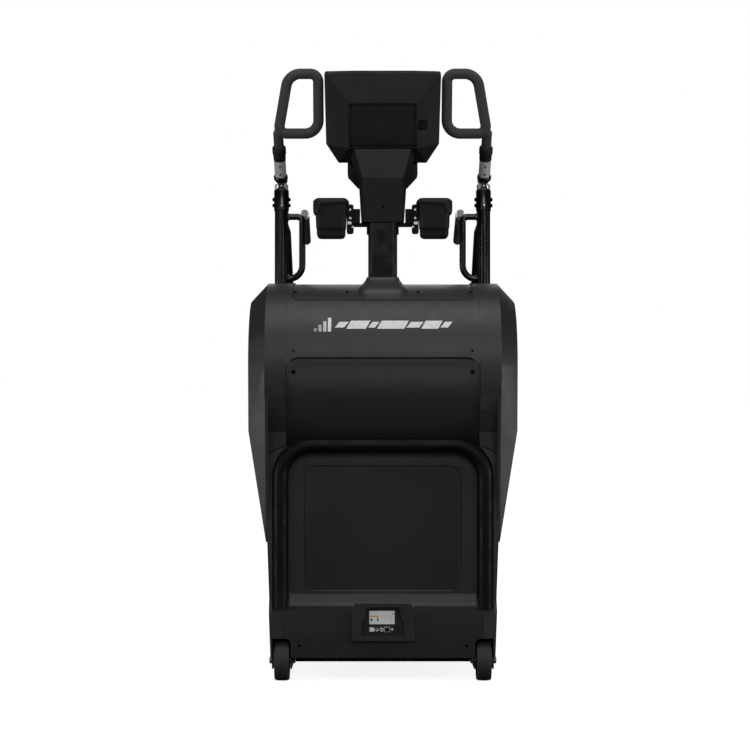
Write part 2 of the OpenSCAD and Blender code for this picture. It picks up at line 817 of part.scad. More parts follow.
module neck_shape(inset) {
  front = mast_y - mast_depth / 2;
  back = mast_y + mast_depth / 2;
  union() {
    hull() {
      box([-50 + inset, front - 10 + inset, neck_z[0] - inset], [50 - inset, front, neck_z[0] + 4]);
      box([-70 + inset, front + 16, neck_z[0] - inset], [70 - inset, back + 14 - inset, neck_z[0] + 4]);
      box([-66 + inset, front - 26 + inset, neck_z[1] - 2], [66 - inset, front, neck_z[1]]);
      box([-79 + inset, front + 10, neck_z[1] - 2], [79 - inset, back + 26 - inset, neck_z[1]]);
    }
    hull() {
      box([-66 + inset, front - 26 + inset, neck_z[1] - 2], [66 - inset, front, neck_z[1]]);
      box([-79 + inset, front + 10, neck_z[1] - 2], [79 - inset, back + 26 - inset, neck_z[1]]);
      box([-92 + inset, front + inset, neck_z[2] - 4], [92 - inset, back, neck_z[2] - inset]);
      box([-104 + inset, front + 24, neck_z[2] - 30], [104 - inset, back - inset, neck_z[2] - 26]);
    }
  }
}

module neck_cover() {
  color("#2c2c2c") difference() {
    neck_shape(0);
    neck_shape(shell_t);
    box([-mast_w / 2 - 0.5, mast_y - mast_depth / 2 - 0.5, neck_z[0] - 10],
      [mast_w / 2 + 0.5, mast_y + mast_depth / 2 + 0.5, neck_z[0] + 10]);
    at_console() box([-160, -console_h / 2 - 20, -bezel_t - 2], [160, console_h / 2, 0.3]);
    at_console() back_shape(-0.3);
    pod_shape(-0.4);
    translate([0, mast_y - mast_depth / 2 - 40, 1526]) rotate([-90, 0, 0]) cylinder(r = 3.5, h = 40);
  }
}

// The console's own frame: X across, Y up its face, Z out of its back
module at_console() {
  translate([0, console_y, console_z]) rotate([90 + console_tilt, 0, 0]) children();
}

module console_outline(inset) {
  hw = console_w / 2 - inset;
  hh = console_h / 2 - inset;
  polygon([
    [-hw + 4, -hh * 0.57], [-hw + 45, -hh], [hw - 45, -hh], [hw - 4, -hh * 0.57],
    [hw, hh - 6], [hw - 5, hh - 2], [hw * 0.5, hh], [-hw * 0.5, hh], [-hw + 5, hh - 2], [-hw, hh - 6]
  ]);
}

module back_shape(inset) {
  hull() {
    linear_extrude(4) console_outline(inset + 1);
    translate([0, back_mid, back_depth - inset - 2]) linear_extrude(2)
      square([226 - 2 * inset, 154 - 2 * inset], center = true);
  }
}

module console_back_cover() {
  color("#1f1f1f") at_console() difference() {
    translate([0, 0, 0.2]) back_shape(0);
    translate([0, 0, -0.1]) back_shape(shell_t);
    translate([0, back_mid, back_depth - 2.5]) linear_extrude(5) rounded([218, 146], 9);
    translate([132, -13, 10]) linear_extrude(40) rounded([30, 32], 6);
  }
}

module console_bezel() {
  color("#303030") at_console() difference() {
    translate([0, 0, -bezel_t]) linear_extrude(bezel_t) console_outline(0);
    translate([0, 0, -bezel_t + shell_t]) linear_extrude(bezel_t) console_outline(shell_t);
    translate([0, window_mid, -bezel_t - 1]) linear_extrude(10) rounded([350, 204], 4);
    translate([0, stop_at, -bezel_t - 1]) cylinder(r = stop_stem + 0.4, h = 10);
  }
}

module display_glass() {
  color("black") at_console() translate([0, window_mid, -bezel_t + 0.5]) linear_extrude(3)
    rounded([349, 203], 4);
}

// Housing under the screen that carries the keys
key_face = [[-384, 1702], [-328, 1662]];
key_tilt = atan2(key_face[0][1] - key_face[1][1], key_face[1][0] - key_face[0][0]);
pod_half = 116;

module pod_shape(inset) {
  hull() {
    across(-pod_half + inset, pod_half - inset) polygon([
      key_face[0] + [0, -1.24 * inset], key_face[1] + [-inset, -0.6 * inset],
        [key_face[1][0] - inset, 1642 + inset],
      [-440 + inset, 1642 + inset], [-440 + inset, 1700 - inset]
    ]);
    box([-82 + inset, -428 + inset, 1604 + inset], [82 - inset, -346 - inset, 1612]);
  }
}

module keypad_pod() {
  color("#242424") difference() {
    pod_shape(0);
    pod_shape(shell_t);
    at_console() translate([0, 0, -bezel_t - 0.3]) linear_extrude(90) console_outline(-0.3);
    for (x = key_x) at_keys() translate([x, 0, -15]) cylinder(r = key_r + 0.5, h = 30);
  }
}

// The keys lie on the pod's sloping face, on the user's side
key_x = [-60, 0, 60];
key_r = 14.5;

module at_keys() {
  mid = (key_face[0] + key_face[1]) / 2;
  translate([0, mid[0], mid[1]]) rotate([-key_tilt, 0, 0]) children();
}

module key(i) {
  color("gray") at_keys() translate([key_x[i], 0, -8]) union() {
    cylinder(r = key_r, h = 11);
    translate([0, 0, -3]) cylinder(r = key_r - 4, h = 4);
  }
}

stop_at = 26 - console_h / 2;
stop_stem = 9;

module stop_button() {
  color("red") at_console() translate([0, stop_at, -bezel_t - 17]) union() {
    cylinder(r = 17, h = 12);
    cylinder(r = stop_stem, h = 30);
  }
}

// --- Cup holders ---

cup_x = 169;
cup_z = [1426, 1556];

module cup_solid(inset) {
  hull() {
    translate([0, 0, cup_z[1] - 34]) linear_extrude(34 + (inset > 0 ? 1 : 0))
      rounded([108 - 2 * inset, 104 - 2 * inset], 20 - inset, HULL_FN);
    translate([0, 0, cup_z[0] + 34]) linear_extrude(2)
      rounded([98 - 2 * inset, 94 - 2 * inset], 18 - inset, HULL_FN);
    translate([0, 0, cup_z[0] + inset]) linear_extrude(2)
      rounded([88 - 2 * inset, 78 - 2 * inset], 16 - inset, HULL_FN);
  }
}

module cup_holder(side) {
  color("#222222") translate([side * cup_x, mast_y, 0]) difference() {
    union() {
      cup_solid(0);
      translate([0, 0, cup_z[1] - 20]) linear_extrude(20) rounded([118, 114], 24);
    }
    cup_solid(3);
    translate([0, 0, cup_z[1] - 2]) linear_extrude(4) rounded([102, 98], 17);
  }
}

module cup_holder_brackets() {
  arm = mast_w / 2;
  color("#1c1c1c") both_sides() difference() {
    union() {
      box([arm, mast_y - 8, 1470 - 6], [cup_x - 59 - 8, mast_y + 8, 1477]);
      box([cup_x - 59 - 10, mast_y - 30, 1440], [cup_x - 59 - 4, mast_y + 30, 1530]);
      box([arm, mast_y - 26, 1440], [arm + 5, mast_y + 26, 1477.5]);
      for (z = [1452, 1512]) translate([cup_x - 59 - 4, mast_y - 20, z]) rotate([0, 90, 0])
        cylinder(r = 5, h = 4);
      for (z = [1452, 1512]) translate([cup_x - 59 - 4, mast_y + 20, z]) rotate([0, 90, 0])
        cylinder(r = 5, h = 4);
      box([74, mast_y - 8, 1464], [cup_x - 59 - 8, mast_y + 8, 1525]);
    }
  }
}

// --- Handrails ---

rail_slope = 0.8;
rail_top = [upright_x, upright_y, 1497];
rail_bend = [rail_side_x, upright_y + 45, rail_top[2] - rail_slope * 45];
rail_knee = [rail_side_x, rail_foot_y, rail_top[2] - rail_slope * (rail_foot_y - upright_y)];
tube_t = 2.5;

module handrail() {
  ro = rail_d / 2;
  foot = [rail_side_x, rail_foot_y, frame_top];
  pulse_dir = unit(pulse_to - pulse_from);
  color("black") difference() {
    union() {
      translate([upright_x, upright_y, upright_foot])
        cylinder(r = upright_d / 2, h = sleeve_z - 26 - upright_foot);
      for (z = [upright_foot + 10, 1090])
        box([rail_x, upright_y - 16, z], [upright_x, upright_y + 16, z + 50]);
      bent_bar([rail_top, rail_bend, rail_knee, foot], [60, 110], ro);
      bent_bar(
        [
          [upright_x, upright_y, grip_z[1]], [grip_x, upright_y, grip_z[1]],
          [grip_x, upright_y, grip_z[0]], [upright_x, upright_y, grip_z[0]]
        ],
        [17, 45], grip_d / 2
      );
      bar(pulse_from - 8 * pulse_dir, pulse_to - 3 * pulse_dir, pulse_d / 2 - 3);
    }
    translate([upright_x, upright_y, upright_foot - 1])
      cylinder(r = upright_d / 2 - tube_t, h = sleeve_z - upright_foot);
    bent_bar([rail_bend + 6 * unit(rail_knee - rail_bend), rail_knee, foot - [0, 0, 1]], [110],
      ro - tube_t);
  }
}

module pulse_grips() {
  d = unit(pulse_to - pulse_from);
  color("gray") both_sides() difference() {
    bar(pulse_from + 6 * d, pulse_to - 10 * d, pulse_d / 2);
    bar(pulse_from, pulse_to, pulse_d / 2 - 2.85);
  }
}

function push_at(x, up) = [x, push_low[1] - up * sin(push_lean), push_low[2] + up * cos(push_lean)];
push_elbow = [upright_x + 1, upright_y, sleeve_z + 22];
pole_dir = unit(push_low - push_elbow);

module push_handle() {
  r = push_d / 2;
  low_in = push_at(push_in_x, 0);
  top_in = push_at(push_in_x, push_h);
  top_out = push_at(push_top_x, push_h);
  color("#2e2e2e") union() {
    bar_loop([push_low, low_in, top_in, top_out], [24, 45, 26, 48], r);
    bar(push_low - 54 * pole_dir, push_low, r - 1);
    translate(push_low) sphere(r - 0.5);
    // collar at the pole's foot
    bar(push_low - 98 * pole_dir, push_low - 50 * pole_dir, r + 4);
  }
}

module handle_couplers() {
  color("silver") both_sides()
    bar(push_low - 157.7 * pole_dir, push_low - 98 * pole_dir, push_d / 2 + 1.2);
}

module clamp_body() {
  ro = upright_d / 2 + 2.5;
  top = push_low - 158 * pole_dir;
  union() {
    difference() {
      translate([upright_x, upright_y, sleeve_z - sleeve_h]) cylinder(r = ro, h = sleeve_h);
      translate([upright_x, upright_y, sleeve_z - sleeve_h - 1])
        cylinder(r = upright_d / 2, h = sleeve_h - 25);
    }
    translate([upright_x, upright_y, sleeve_z - eps]) cylinder(r1 = ro, r2 = 15, h = 18);
    bar([upright_x, upright_y, sleeve_z - 4], top - 6 * pole_dir, 14);
    bar(top - 14 * pole_dir, top, push_d / 2 + 4);
    for (z = [sleeve_z - sleeve_h + 20, sleeve_z - sleeve_h + 38], s = [-1, 1])
      translate([upright_x + s * (ro - 1), upright_y, z]) rotate([0, s * 90, 0])
        cylinder(r = 5, h = 6, $fn = 6);
  }
}

module handle_clamps() {
  color("black") both_sides() clamp_body();
}

// --- Staircase drive ---

module sprocket(c, x0, w, r, teeth) {
  difference() {
    disc(c, x0, x0 + w, r);
    for (i = [0:teeth - 1]) {
      a = i * 360 / teeth;
      disc(c + (r + 1.2) * [cos(a), sin(a)], x0 - 1, x0 + w + 1, 3);
    }
  }
}

sprocket_r = wrap_r - chain_t - 0.5;

module shaft_pair(c, reach_left, reach_right) {
  union() {
    disc(c, -reach_left, reach_right, shaft_d / 2);
    both_sides() sprocket(c, chain_x, chain_w, sprocket_r, 24);
    both_sides() disc(c, chain_x - 10, chain_x + eps, shaft_d / 2 + 10);
  }
}

module upper_shaft() {
  color("silver") union() {
    shaft_pair(upper, rail_x + 24, drive_x + drive_w + 4);
    sprocket(upper, drive_x, drive_w, drive_r - chain_t / 2 - 0.5, 20);
  }
}

module lower_shaft() {
  color("silver") shaft_pair(lower, rail_x + 24, rail_x + 24);
}

module bearing(c, r) {
  union() {
    disc(c, rail_x + eps, rail_x + 6, r + 20, r + fit);
    disc(c, rail_x + 5, rail_x + 20, r + 12, r + fit);
  }
}

module shaft_bearings() {
  color("gray") {
    both_sides() bearing(upper, shaft_d / 2);
    both_sides() bearing(lower, shaft_d / 2);
    bearing(jack, 12);
  }
}

// Outline of a belt or chain round two wheels
module loop_outline(a, ra, b, rb) {
  hull() {
    translate(a) circle(ra, $fn = 96);
    translate(b) circle(rb, $fn = 96);
  }
}

module stadium(r) {
  union() {
    translate(upper) circle(r);
    translate(lower) circle(r);
    polygon([on_stairs(0, r), on_stairs(straight, r), on_stairs(straight, -r), on_stairs(0, -r)]);
  }
}

module step_chains() {
  color("silver") both_sides() across(chain_x, chain_x + chain_w) difference() {
    stadium(wrap_r + chain_t);
    stadium(wrap_r - chain_t);
  }
}

module guide_tracks() {
  color("gray") both_sides() {
    for (s = [1, -1], side = [-1, 1])
      if (!(s == 1 && side == 1)) {
        d = s * wrap_r + side * (roller_r + 0.4);
        across(roller_x, plate_x - eps) polygon([
          on_stairs(70, d), on_stairs(straight - 70, d), on_stairs(straight - 70, d + side * 4),
            on_stairs(70, d + side * 4)
        ]);
      }
  }
}

// One step about its own axle: tread, riser, lugs, axle and two rollers
module step_parts() {
  hw = tread_w / 2;
  tread_low = tread_lift - tread_t;
  color("#1c1c1c") across(-hw, hw) polygon([
    [tread_back, tread_low], [tread_nose, tread_low], [tread_nose, tread_lift - 4],
      [tread_nose - 4, tread_lift],
    [tread_back, tread_lift]
  ]);
  color("#1c1c1c") across(-hw, hw) polygon([
    [tread_nose - riser_t - 1, riser_foot], [tread_nose - 1, riser_foot], [tread_nose - 1, tread_low],
      [tread_nose - riser_t - 1, tread_low]
  ]);
  color("gray") for (x = [-205, 195]) difference() {
    box([x, -13, -13], [x + 10, 13, tread_low]);
    disc([0, 0], x - 1, x + 11, step_axle_r + fit);
  }
  color("silver") disc([0, 0], -chain_x + 0.5, chain_x - 0.5, step_axle_r);
  color("#404040") both_sides() disc([0, 0], roller_x, roller_x + roller_w, roller_r, step_axle_r + fit);
}

// Where each step stands: three on the user's side, one at each wrap, three coming back upside down
module step_at(along, out, turn) {
  p = on_stairs(along, out);
  translate([0, p[0], p[1]]) rotate([turn, 0, 0]) step_parts();
}

module step(i) {
  if (i <= 4) step_at((i - 1) * pitch, wrap_r, 0);
  else step_at((i - 5) * pitch, -wrap_r, 180);
}

// --- Brake and generator ---

module intermediate_shaft() {
  color("silver") union() {
    disc(jack, belt_x - 10, drive_x + drive_w + 4, 12);
    sprocket(jack, drive_x, drive_w, jack_r - chain_t / 2 - 0.5, 12);
    difference() {
      disc(jack, belt_x, belt_x + belt_w, big_pulley_r - 2.2);
      for (a = [30:60:360]) disc(jack + 66 * [cos(a), sin(a)], belt_x - 1, belt_x + belt_w + 1, 22);
    }
  }
}

module alternator() {
  color("gray") difference() {
    union() {
      disc(alt, 60, 225, alt_r);
      box([80, alt[0] - 60, frame_top], [92, alt[0] + 60, alt[1]]);
      box([190, alt[0] - 60, frame_top], [202, alt[0] + 60, alt[1]]);
      box([75, -560, frame_top - 6], [207, -100, frame_top + 4]);
    }
    disc(alt, 50, 235, 8 + fit);
    box([-400, -580 - eps, frame_z], [400, -540, frame_top]);
    box([-400, -100, frame_z], [400, -60, frame_top]);
  }
}

module alternator_rotor() {
  color("silver") union() {
    disc(alt, 22, belt_x + belt_w + 2, 8);
    disc(alt, belt_x, belt_x + belt_w, small_pulley_r - 2.2);
    difference() {
      disc(alt, 25, 45, flywheel_r);
      for (a = [0:72:359]) disc(alt + 62 * [cos(a), sin(a)], 24, 46, 20);
    }
  }
}

module drive_chain() {
  color("silver") across(drive_x, drive_x + drive_w) difference() {
    loop_outline(upper, drive_r + chain_t / 2, jack, jack_r + chain_t / 2);
    loop_outline(upper, drive_r - chain_t / 2, jack, jack_r - chain_t / 2);
  }
}

module drive_belt() {
  color("black") across(belt_x + 1, belt_x + belt_w - 1) difference() {
    loop_outline(jack, big_pulley_r + 2, alt, small_pulley_r + 2);
    loop_outline(jack, big_pulley_r - 2, alt, small_pulley_r - 2);
  }
}

module controller_box() {
  color("silver") union() {
    box([-260, -540, frame_top + 0.5], [-70, -420, 300]);
    box([-270, -580, frame_top], [-60, -420, frame_top + 3]);
  }
}

base_frame();
mirror([1, 0, 0]) side_plate();  // left_side_plate
side_plate();  // right_side_plate
top_beam();
front_hoop();
levelling_feet();
wheel(-1);  // left_wheel
wheel(1);  // right_wheel
wheel_axle_bolts();
front_upper_cover();
front_middle_cover();
front_lower_panel();
front_bumper();
mirror([1, 0, 0]) side_shroud();  // left_side_shroud
side_shroud();  // right_side_shroud
dash_panel();
entry_platform();
mast_boot();
inlet_panel();
power_switch();
cover_screws();
mast();
neck_cover();
console_back_cover();
console_bezel();
display_glass();
keypad_pod();
stop_button();
key(1);  // start_key
key(2);  // level_up_key
key(0);  // level_down_key
cup_holder(-1);  // left_cup_holder
cup_holder(1);  // right_cup_holder
cup_holder_brackets();
mirror([1, 0, 0]) handrail();  // left_handrail
handrail();  // right_handrail
pulse_grips();
mirror([1, 0, 0]) push_handle();  // left_push_handle
push_handle();  // right_push_handle
handle_couplers();
handle_clamps();
upper_shaft();
lower_shaft();
shaft_bearings();
step_chains();
guide_tracks();
step(1);  // step_1
step(2);  // step_2
step(3);  // step_3
step(4);  // step_4
step(5);  // step_5
step(6);  // step_6
step(7);  // step_7
step(8);  // step_8
intermediate_shaft();
alternator();
alternator_rotor();
drive_chain();
drive_belt();
controller_box();
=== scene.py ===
# Looks for the stair climber: casts its materials, models the detailed pieces and sets the studio.
import bpy, bmesh, json, math
from mathutils import Matrix, Vector


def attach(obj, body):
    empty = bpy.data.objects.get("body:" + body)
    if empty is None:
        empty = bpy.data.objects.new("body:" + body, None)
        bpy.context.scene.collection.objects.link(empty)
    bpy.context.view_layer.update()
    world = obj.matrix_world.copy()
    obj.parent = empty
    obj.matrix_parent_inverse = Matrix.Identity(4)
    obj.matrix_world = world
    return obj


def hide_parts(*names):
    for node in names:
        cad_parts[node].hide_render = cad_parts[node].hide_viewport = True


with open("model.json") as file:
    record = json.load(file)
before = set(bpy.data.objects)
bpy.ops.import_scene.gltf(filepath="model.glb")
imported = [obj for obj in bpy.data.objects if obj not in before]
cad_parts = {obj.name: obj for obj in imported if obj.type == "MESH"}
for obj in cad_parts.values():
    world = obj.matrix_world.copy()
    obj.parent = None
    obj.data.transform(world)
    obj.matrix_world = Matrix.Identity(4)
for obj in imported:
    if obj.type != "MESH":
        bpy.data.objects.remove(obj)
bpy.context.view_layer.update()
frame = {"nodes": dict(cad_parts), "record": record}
scene = bpy.context.scene
record = frame["record"]
mm = 0.001
print("frame loaded,", len(frame["nodes"]), "nodes")

# Materials

def newMaterial(name):
    material = bpy.data.materials.new(name)
    material.use_nodes = True
    tree = material.node_tree
    return material, tree, tree.nodes["Principled BSDF"]

def node(tree, kind, **values):
    made = tree.nodes.new(kind)
    for key, value in values.items():
        if hasattr(made, key):
            setattr(made, key, value)
        else:
            made.inputs[key.replace("_", " ")].default_value = value
    return made

def noise(tree, scale, detail=3.0, rough=0.5, stretch=None):
    place = node(tree, "ShaderNodeTexCoord")
    made = node(tree, "ShaderNodeTexNoise", Scale=scale, Detail=detail, Roughness=rough)
    if stretch:
        mapping = node(tree, "ShaderNodeMapping", Scale=stretch)
        tree.links.new(place.outputs["Object"], mapping.inputs["Vector"])
        tree.links.new(mapping.outputs["Vector"], made.inputs["Vector"])
    else:
        tree.links.new(place.outputs["Object"], made.inputs["Vector"])
    return made.outputs["Fac"]

def remap(tree, value, low, high, fromLow=0.3, fromHigh=0.7):
    made = node(tree, "ShaderNodeMapRange")
    made.inputs["From Min"].default_value = fromLow
    made.inputs["From Max"].default_value = fromHigh
    made.inputs["To Min"].default_value = low
    made.inputs["To Max"].default_value = high
    tree.links.new(value, made.inputs["Value"])
    return made.outputs["Result"]

def mixColour(tree, factor, first, second):
    made = node(tree, "ShaderNodeMix", data_type="RGBA")
    made.inputs[6].default_value = (*first, 1)
    if isinstance(second, tuple):
        made.inputs[7].default_value = (*second, 1)
    else:
        tree.links.new(second, made.inputs[7])
    tree.links.new(factor, made.inputs[0])
    return made.outputs[2]

def bump(tree, shader, heights):
    last = None
    for height, strength, distance in heights:
        made = node(tree, "ShaderNodeBump", Strength=strength, Distance=distance)
        tree.links.new(height, made.inputs["Height"])
        if last:
            tree.links.new(last, made.inputs["Normal"])
        last = made.outputs["Normal"]
    tree.links.new(last, shader.inputs["Normal"])

def edgeWear(tree, low=0.505, high=0.56):
    # lighter where the mesh is pointed, at edges and corners: partly rubbed wear, partly a painted edge
    # highlight
    shape = node(tree, "ShaderNodeNewGeometry")
    return remap(tree, shape.outputs["Pointiness"], 0.0, 1.0, low, high)

def mouldedPlastic(name, look):
    material, tree, shader = newMaterial(name)
    blotch = noise(tree, 6.0, 4.0, 0.55)
    wornAndHighlit = edgeWear(tree)
    base = mixColour(
        tree, remap(tree, blotch, 0.0, 1.0), look["colour"],
        tuple(c * look["vary"] for c in look["colour"])
    )
    # edges lighter by the pointiness mask: rubbed wear and a painted edge highlight
    rubbedAndHighlit = node(tree, "ShaderNodeMix", data_type="RGBA")
    tree.links.new(base, rubbedAndHighlit.inputs[6])
    rubbedAndHighlit.inputs[7].default_value = (*[min(1, c * look["wear"]) for c in look["colour"]], 1)
    tree.links.new(wornAndHighlit, rubbedAndHighlit.inputs[0])
    tree.links.new(rubbedAndHighlit.outputs[2], shader.inputs["Base Color"])
    smudge = noise(tree, 18.0, 5.0, 0.6)
    tree.links.new(
        remap(tree, smudge, look["rough"] - look["roughVary"], look["rough"] + look["roughVary"]),
        shader.inputs["Roughness"]
    )
    grain = node(tree, "ShaderNodeTexVoronoi", Scale=look["grain"])
    place = node(tree, "ShaderNodeTexCoord")
    tree.links.new(place.outputs["Object"], grain.inputs["Vector"])
    bump(
        tree, shader,
        [(noise(tree, 9.0, 2.0), 0.03, 0.002), (grain.outputs["Distance"], look["grainDepth"], 0.0004)]
    )
    shader.inputs["Specular IOR Level"].default_value = look["specular"]
    return material

def glossPaint(name, look):
    material, tree, shader = newMaterial(name)
    flake = noise(tree, 900.0, 2.0)
    base = mixColour(
        tree, remap(tree, flake, 0.0, 1.0), look["colour"], tuple(c * 1.5 for c in look["colour"])
    )
    # edges lighter grey by the pointiness mask: paint chips and a painted edge highlight
    chippedAndHighlit = node(tree, "ShaderNodeMix", data_type="RGBA")
    tree.links.new(base, chippedAndHighlit.inputs[6])
    chippedAndHighlit.inputs[7].default_value = (0.09, 0.09, 0.095, 1)
    tree.links.new(edgeWear(tree, 0.6, 0.8), chippedAndHighlit.inputs[0])
    tree.links.new(chippedAndHighlit.outputs[2], shader.inputs["Base Color"])
    dust = noise(tree, 25.0, 6.0, 0.65)
    tree.links.new(remap(tree, dust, look["rough"], look["rough"] * 1.8), shader.inputs["Roughness"])
    bump(tree, shader, [(noise(tree, 160.0, 2.0), look["peel"], 0.0006)])
    shader.inputs["Coat Weight"].default_value = look["coat"]
    shader.inputs["Specular IOR Level"].default_value = look["specular"]
    shader.inputs["Coat Roughness"].default_value = 0.08
    return material

def bareMetal(name, look):
    material, tree, shader = newMaterial(name)
    brushed = noise(tree, look["brush"], 4.0, 0.6, look["stretch"])
    dull = noise(tree, 14.0, 5.0, 0.6)
    base = mixColour(
        tree, remap(tree, dull, 0.0, 1.0), look["colour"], tuple(c * look["vary"] for c in look["colour"])
    )
    tree.links.new(base, shader.inputs["Base Color"])
    tree.links.new(
        remap(tree, brushed, look["rough"] * 0.7, look["rough"] * 1.35), shader.inputs["Roughness"]
    )
    bump(tree, shader, [(brushed, look["depth"], 0.0004)])
    shader.inputs["Metallic"].default_value = look["metallic"]
    return material

def pebbledFoam(name, look):
    material, tree, shader = newMaterial(name)
    place = node(tree, "ShaderNodeTexCoord")
    cells = node(tree, "ShaderNodeTexVoronoi", Scale=look["cells"])
    tree.links.new(place.outputs["Object"], cells.inputs["Vector"])
    pores = noise(tree, look["cells"] * 2.2, 3.0)
    # darker in the dimples of the cell pattern, where the bump is low: painted shade in the pebbling
    base = mixColour(
        tree, remap(tree, cells.outputs["Distance"], 0.0, 1.0, 0.1, 0.7),
        tuple(c * 0.6 for c in look["colour"]), look["colour"]
    )
    tree.links.new(base, shader.inputs["Base Color"])
    tree.links.new(
        remap(tree, noise(tree, 30.0, 5.0), look["rough"] - 0.08, look["rough"] + 0.08),
        shader.inputs["Roughness"]
    )
    bump(
        tree, shader,
        [
            (noise(tree, 45.0, 3.0), 0.12, 0.002), (cells.outputs["Distance"], look["depth"], 0.0007),
            (pores, 0.15, 0.0003)
        ]
    )
    shader.inputs["Specular IOR Level"].default_value = 0.35
    shader.inputs["Sheen Weight"].default_value = look["sheen"]
    shader.inputs["Sheen Roughness"].default_value = 0.5
    return material

def darkGlass(name, look):
    material, tree, shader = newMaterial(name)
    smear = noise(tree, 12.0, 6.0, 0.7, (1.0, 1.0, 0.3))
    tree.links.new(remap(tree, smear, 0.03, 0.14), shader.inputs["Roughness"])
    base = mixColour(
        tree, remap(tree, noise(tree, 300.0), 0.0, 1.0), look["colour"],
        tuple(c * 1.4 for c in look["colour"])
    )
    tree.links.new(base, shader.inputs["Base Color"])
    shader.inputs["Coat Weight"].default_value = 0.6
    shader.inputs["Coat Roughness"].default_value = 0.03
    return material

finishes = {
    "shell": {
        "colour": (0.024, 0.024, 0.0248), "vary": 1.12, "wear": 1.7, "rough": 0.46, "roughVary": 0.04,
        "grain": 1500.0, "grainDepth": 0.16, "specular": 0.42
    },
    "lowShell": {
        "colour": (0.013, 0.013, 0.0134), "vary": 1.12, "wear": 1.8, "rough": 0.52, "roughVary": 0.04,
        "grain": 1300.0, "grainDepth": 0.2, "specular": 0.4
    },
    "console": {
        "colour": (0.0085, 0.0085, 0.0088), "vary": 1.1, "wear": 1.8, "rough": 0.55, "roughVary": 0.05,
        "grain": 1600.0, "grainDepth": 0.25, "specular": 0.22
    },
    "greyPart": {
        "colour": (0.42, 0.43, 0.44), "vary": 0.9, "wear": 1.15, "rough": 0.42, "roughVary": 0.05,
        "grain": 1800.0, "grainDepth": 0.12, "specular": 0.5
    },
    "plate": {
        "colour": (0.93, 0.93, 0.94), "vary": 0.97, "wear": 1.05, "rough": 0.4, "roughVary": 0.05,
        "grain": 2500.0, "grainDepth": 0.05, "specular": 0.5
    },
    "amber": {
        "colour": (0.75, 0.45, 0.06), "vary": 0.9, "wear": 1.05, "rough": 0.45, "roughVary": 0.04,
        "grain": 2500.0, "grainDepth": 0.05, "specular": 0.5
    },
    "red": {
        "colour": (0.55, 0.02, 0.015), "vary": 0.85, "wear": 1.4, "rough": 0.28, "roughVary": 0.06,
        "grain": 2000.0, "grainDepth": 0.05, "specular": 0.5
    },
    "rubber": {
        "colour": (0.028, 0.028, 0.029), "vary": 1.25, "wear": 1.5, "rough": 0.72, "roughVary": 0.08,
        "grain": 900.0, "grainDepth": 0.3, "specular": 0.35
    },
    # near-black and almost without gloss: black screws and bolts, and painted shade in the screw holes and
    # vent openings
    "screw": {
        "colour": (0.0012, 0.0012, 0.0012), "vary": 1.3, "wear": 1.5, "rough": 0.8, "roughVary": 0.05,
        "grain": 1500.0, "grainDepth": 0.05, "specular": 0.02
    },
    "dark": {
        "colour": (0.008, 0.008, 0.008), "vary": 1.3, "wear": 1.5, "rough": 0.6, "roughVary": 0.08,
        "grain": 1500.0, "grainDepth": 0.2, "specular": 0.4
    },
}
paints = {
    "tube": {
        "colour": (0.0025, 0.0025, 0.0027), "rough": 0.16, "coat": 0.3, "peel": 0.008, "specular": 0.4
    },
    "hoop": {
        "colour": (0.0025, 0.0025, 0.0027), "rough": 0.36, "coat": 0.0, "peel": 0.006, "specular": 0.16
    },
    "frame": {"colour": (0.02, 0.02, 0.022), "rough": 0.38, "coat": 0.1, "peel": 0.03, "specular": 0.5},
    "step": {"colour": (0.03, 0.03, 0.031), "rough": 0.36, "coat": 0.05, "peel": 0.05, "specular": 0.5},
}
metals = {
    "steel": {
        "colour": (0.42, 0.42, 0.43), "vary": 0.75, "rough": 0.32, "brush": 220.0,
        "stretch": (0.15, 1.0, 1.0), "depth": 0.12, "metallic": 1.0
    },
    "bright": {
        "colour": (0.93, 0.93, 0.94), "vary": 0.97, "rough": 0.27, "brush": 1400.0,
        "stretch": (1.0, 1.0, 0.1), "depth": 0.012, "metallic": 0.45
    },
    "cast": {
        "colour": (0.5, 0.51, 0.52), "vary": 0.85, "rough": 0.45, "brush": 90.0,
        "stretch": (1.0, 1.0, 1.0), "depth": 0.35, "metallic": 1.0
    },
    "foil": {
        "colour": (0.4, 0.4, 0.41), "vary": 0.93, "rough": 0.3, "brush": 400.0,
        "stretch": (0.1, 1.0, 1.0), "depth": 0.04, "metallic": 1.0
    },
}
shellPlastic = mouldedPlastic("satinShellPlastic", finishes["shell"])
# a darker copy of the shell plastic, on the lower covers; on the leg shoulders it is painted shade, on the
# console vent ribs a painted highlight
lowPlastic = mouldedPlastic("darkerShellPlastic", finishes["lowShell"])
consolePlastic = mouldedPlastic("consolePlastic", finishes["console"])
greyPlastic = mouldedPlastic("greyKeyPlastic", finishes["greyPart"])
platePlastic = mouldedPlastic("labelStock", finishes["plate"])
amberPlastic = mouldedPlastic("amberStripe", finishes["amber"])
redPlastic = mouldedPlastic("stopRed", finishes["red"])
wheelRubber = mouldedPlastic("wheelRubber", finishes["rubber"])
darkPlastic = mouldedPlastic("darkPlastic", finishes["dark"])
screwAndShadeBlack = mouldedPlastic("screwBlackPaintedShade", finishes["screw"])
tubePaint = glossPaint("blackTubePaint", paints["tube"])
hoopPaint = glossPaint("satinHoopPaint", paints["hoop"])
framePaint = glossPaint("framePaint", paints["frame"])
stepPaint = glossPaint("stepCoating", paints["step"])
steelMetal = bareMetal("turnedSteel", metals["steel"])
brightMetal = bareMetal("satinSilver", metals["bright"])
castMetal = bareMetal("castAlloy", metals["cast"])
foilMetal = bareMetal("silverFoil", metals["foil"])
gripFoam = pebbledFoam(
    "gripFoam",
    {"colour": (0.062, 0.062, 0.063), "cells": 700.0, "rough": 0.78, "depth": 0.35, "sheen": 0.08}
)
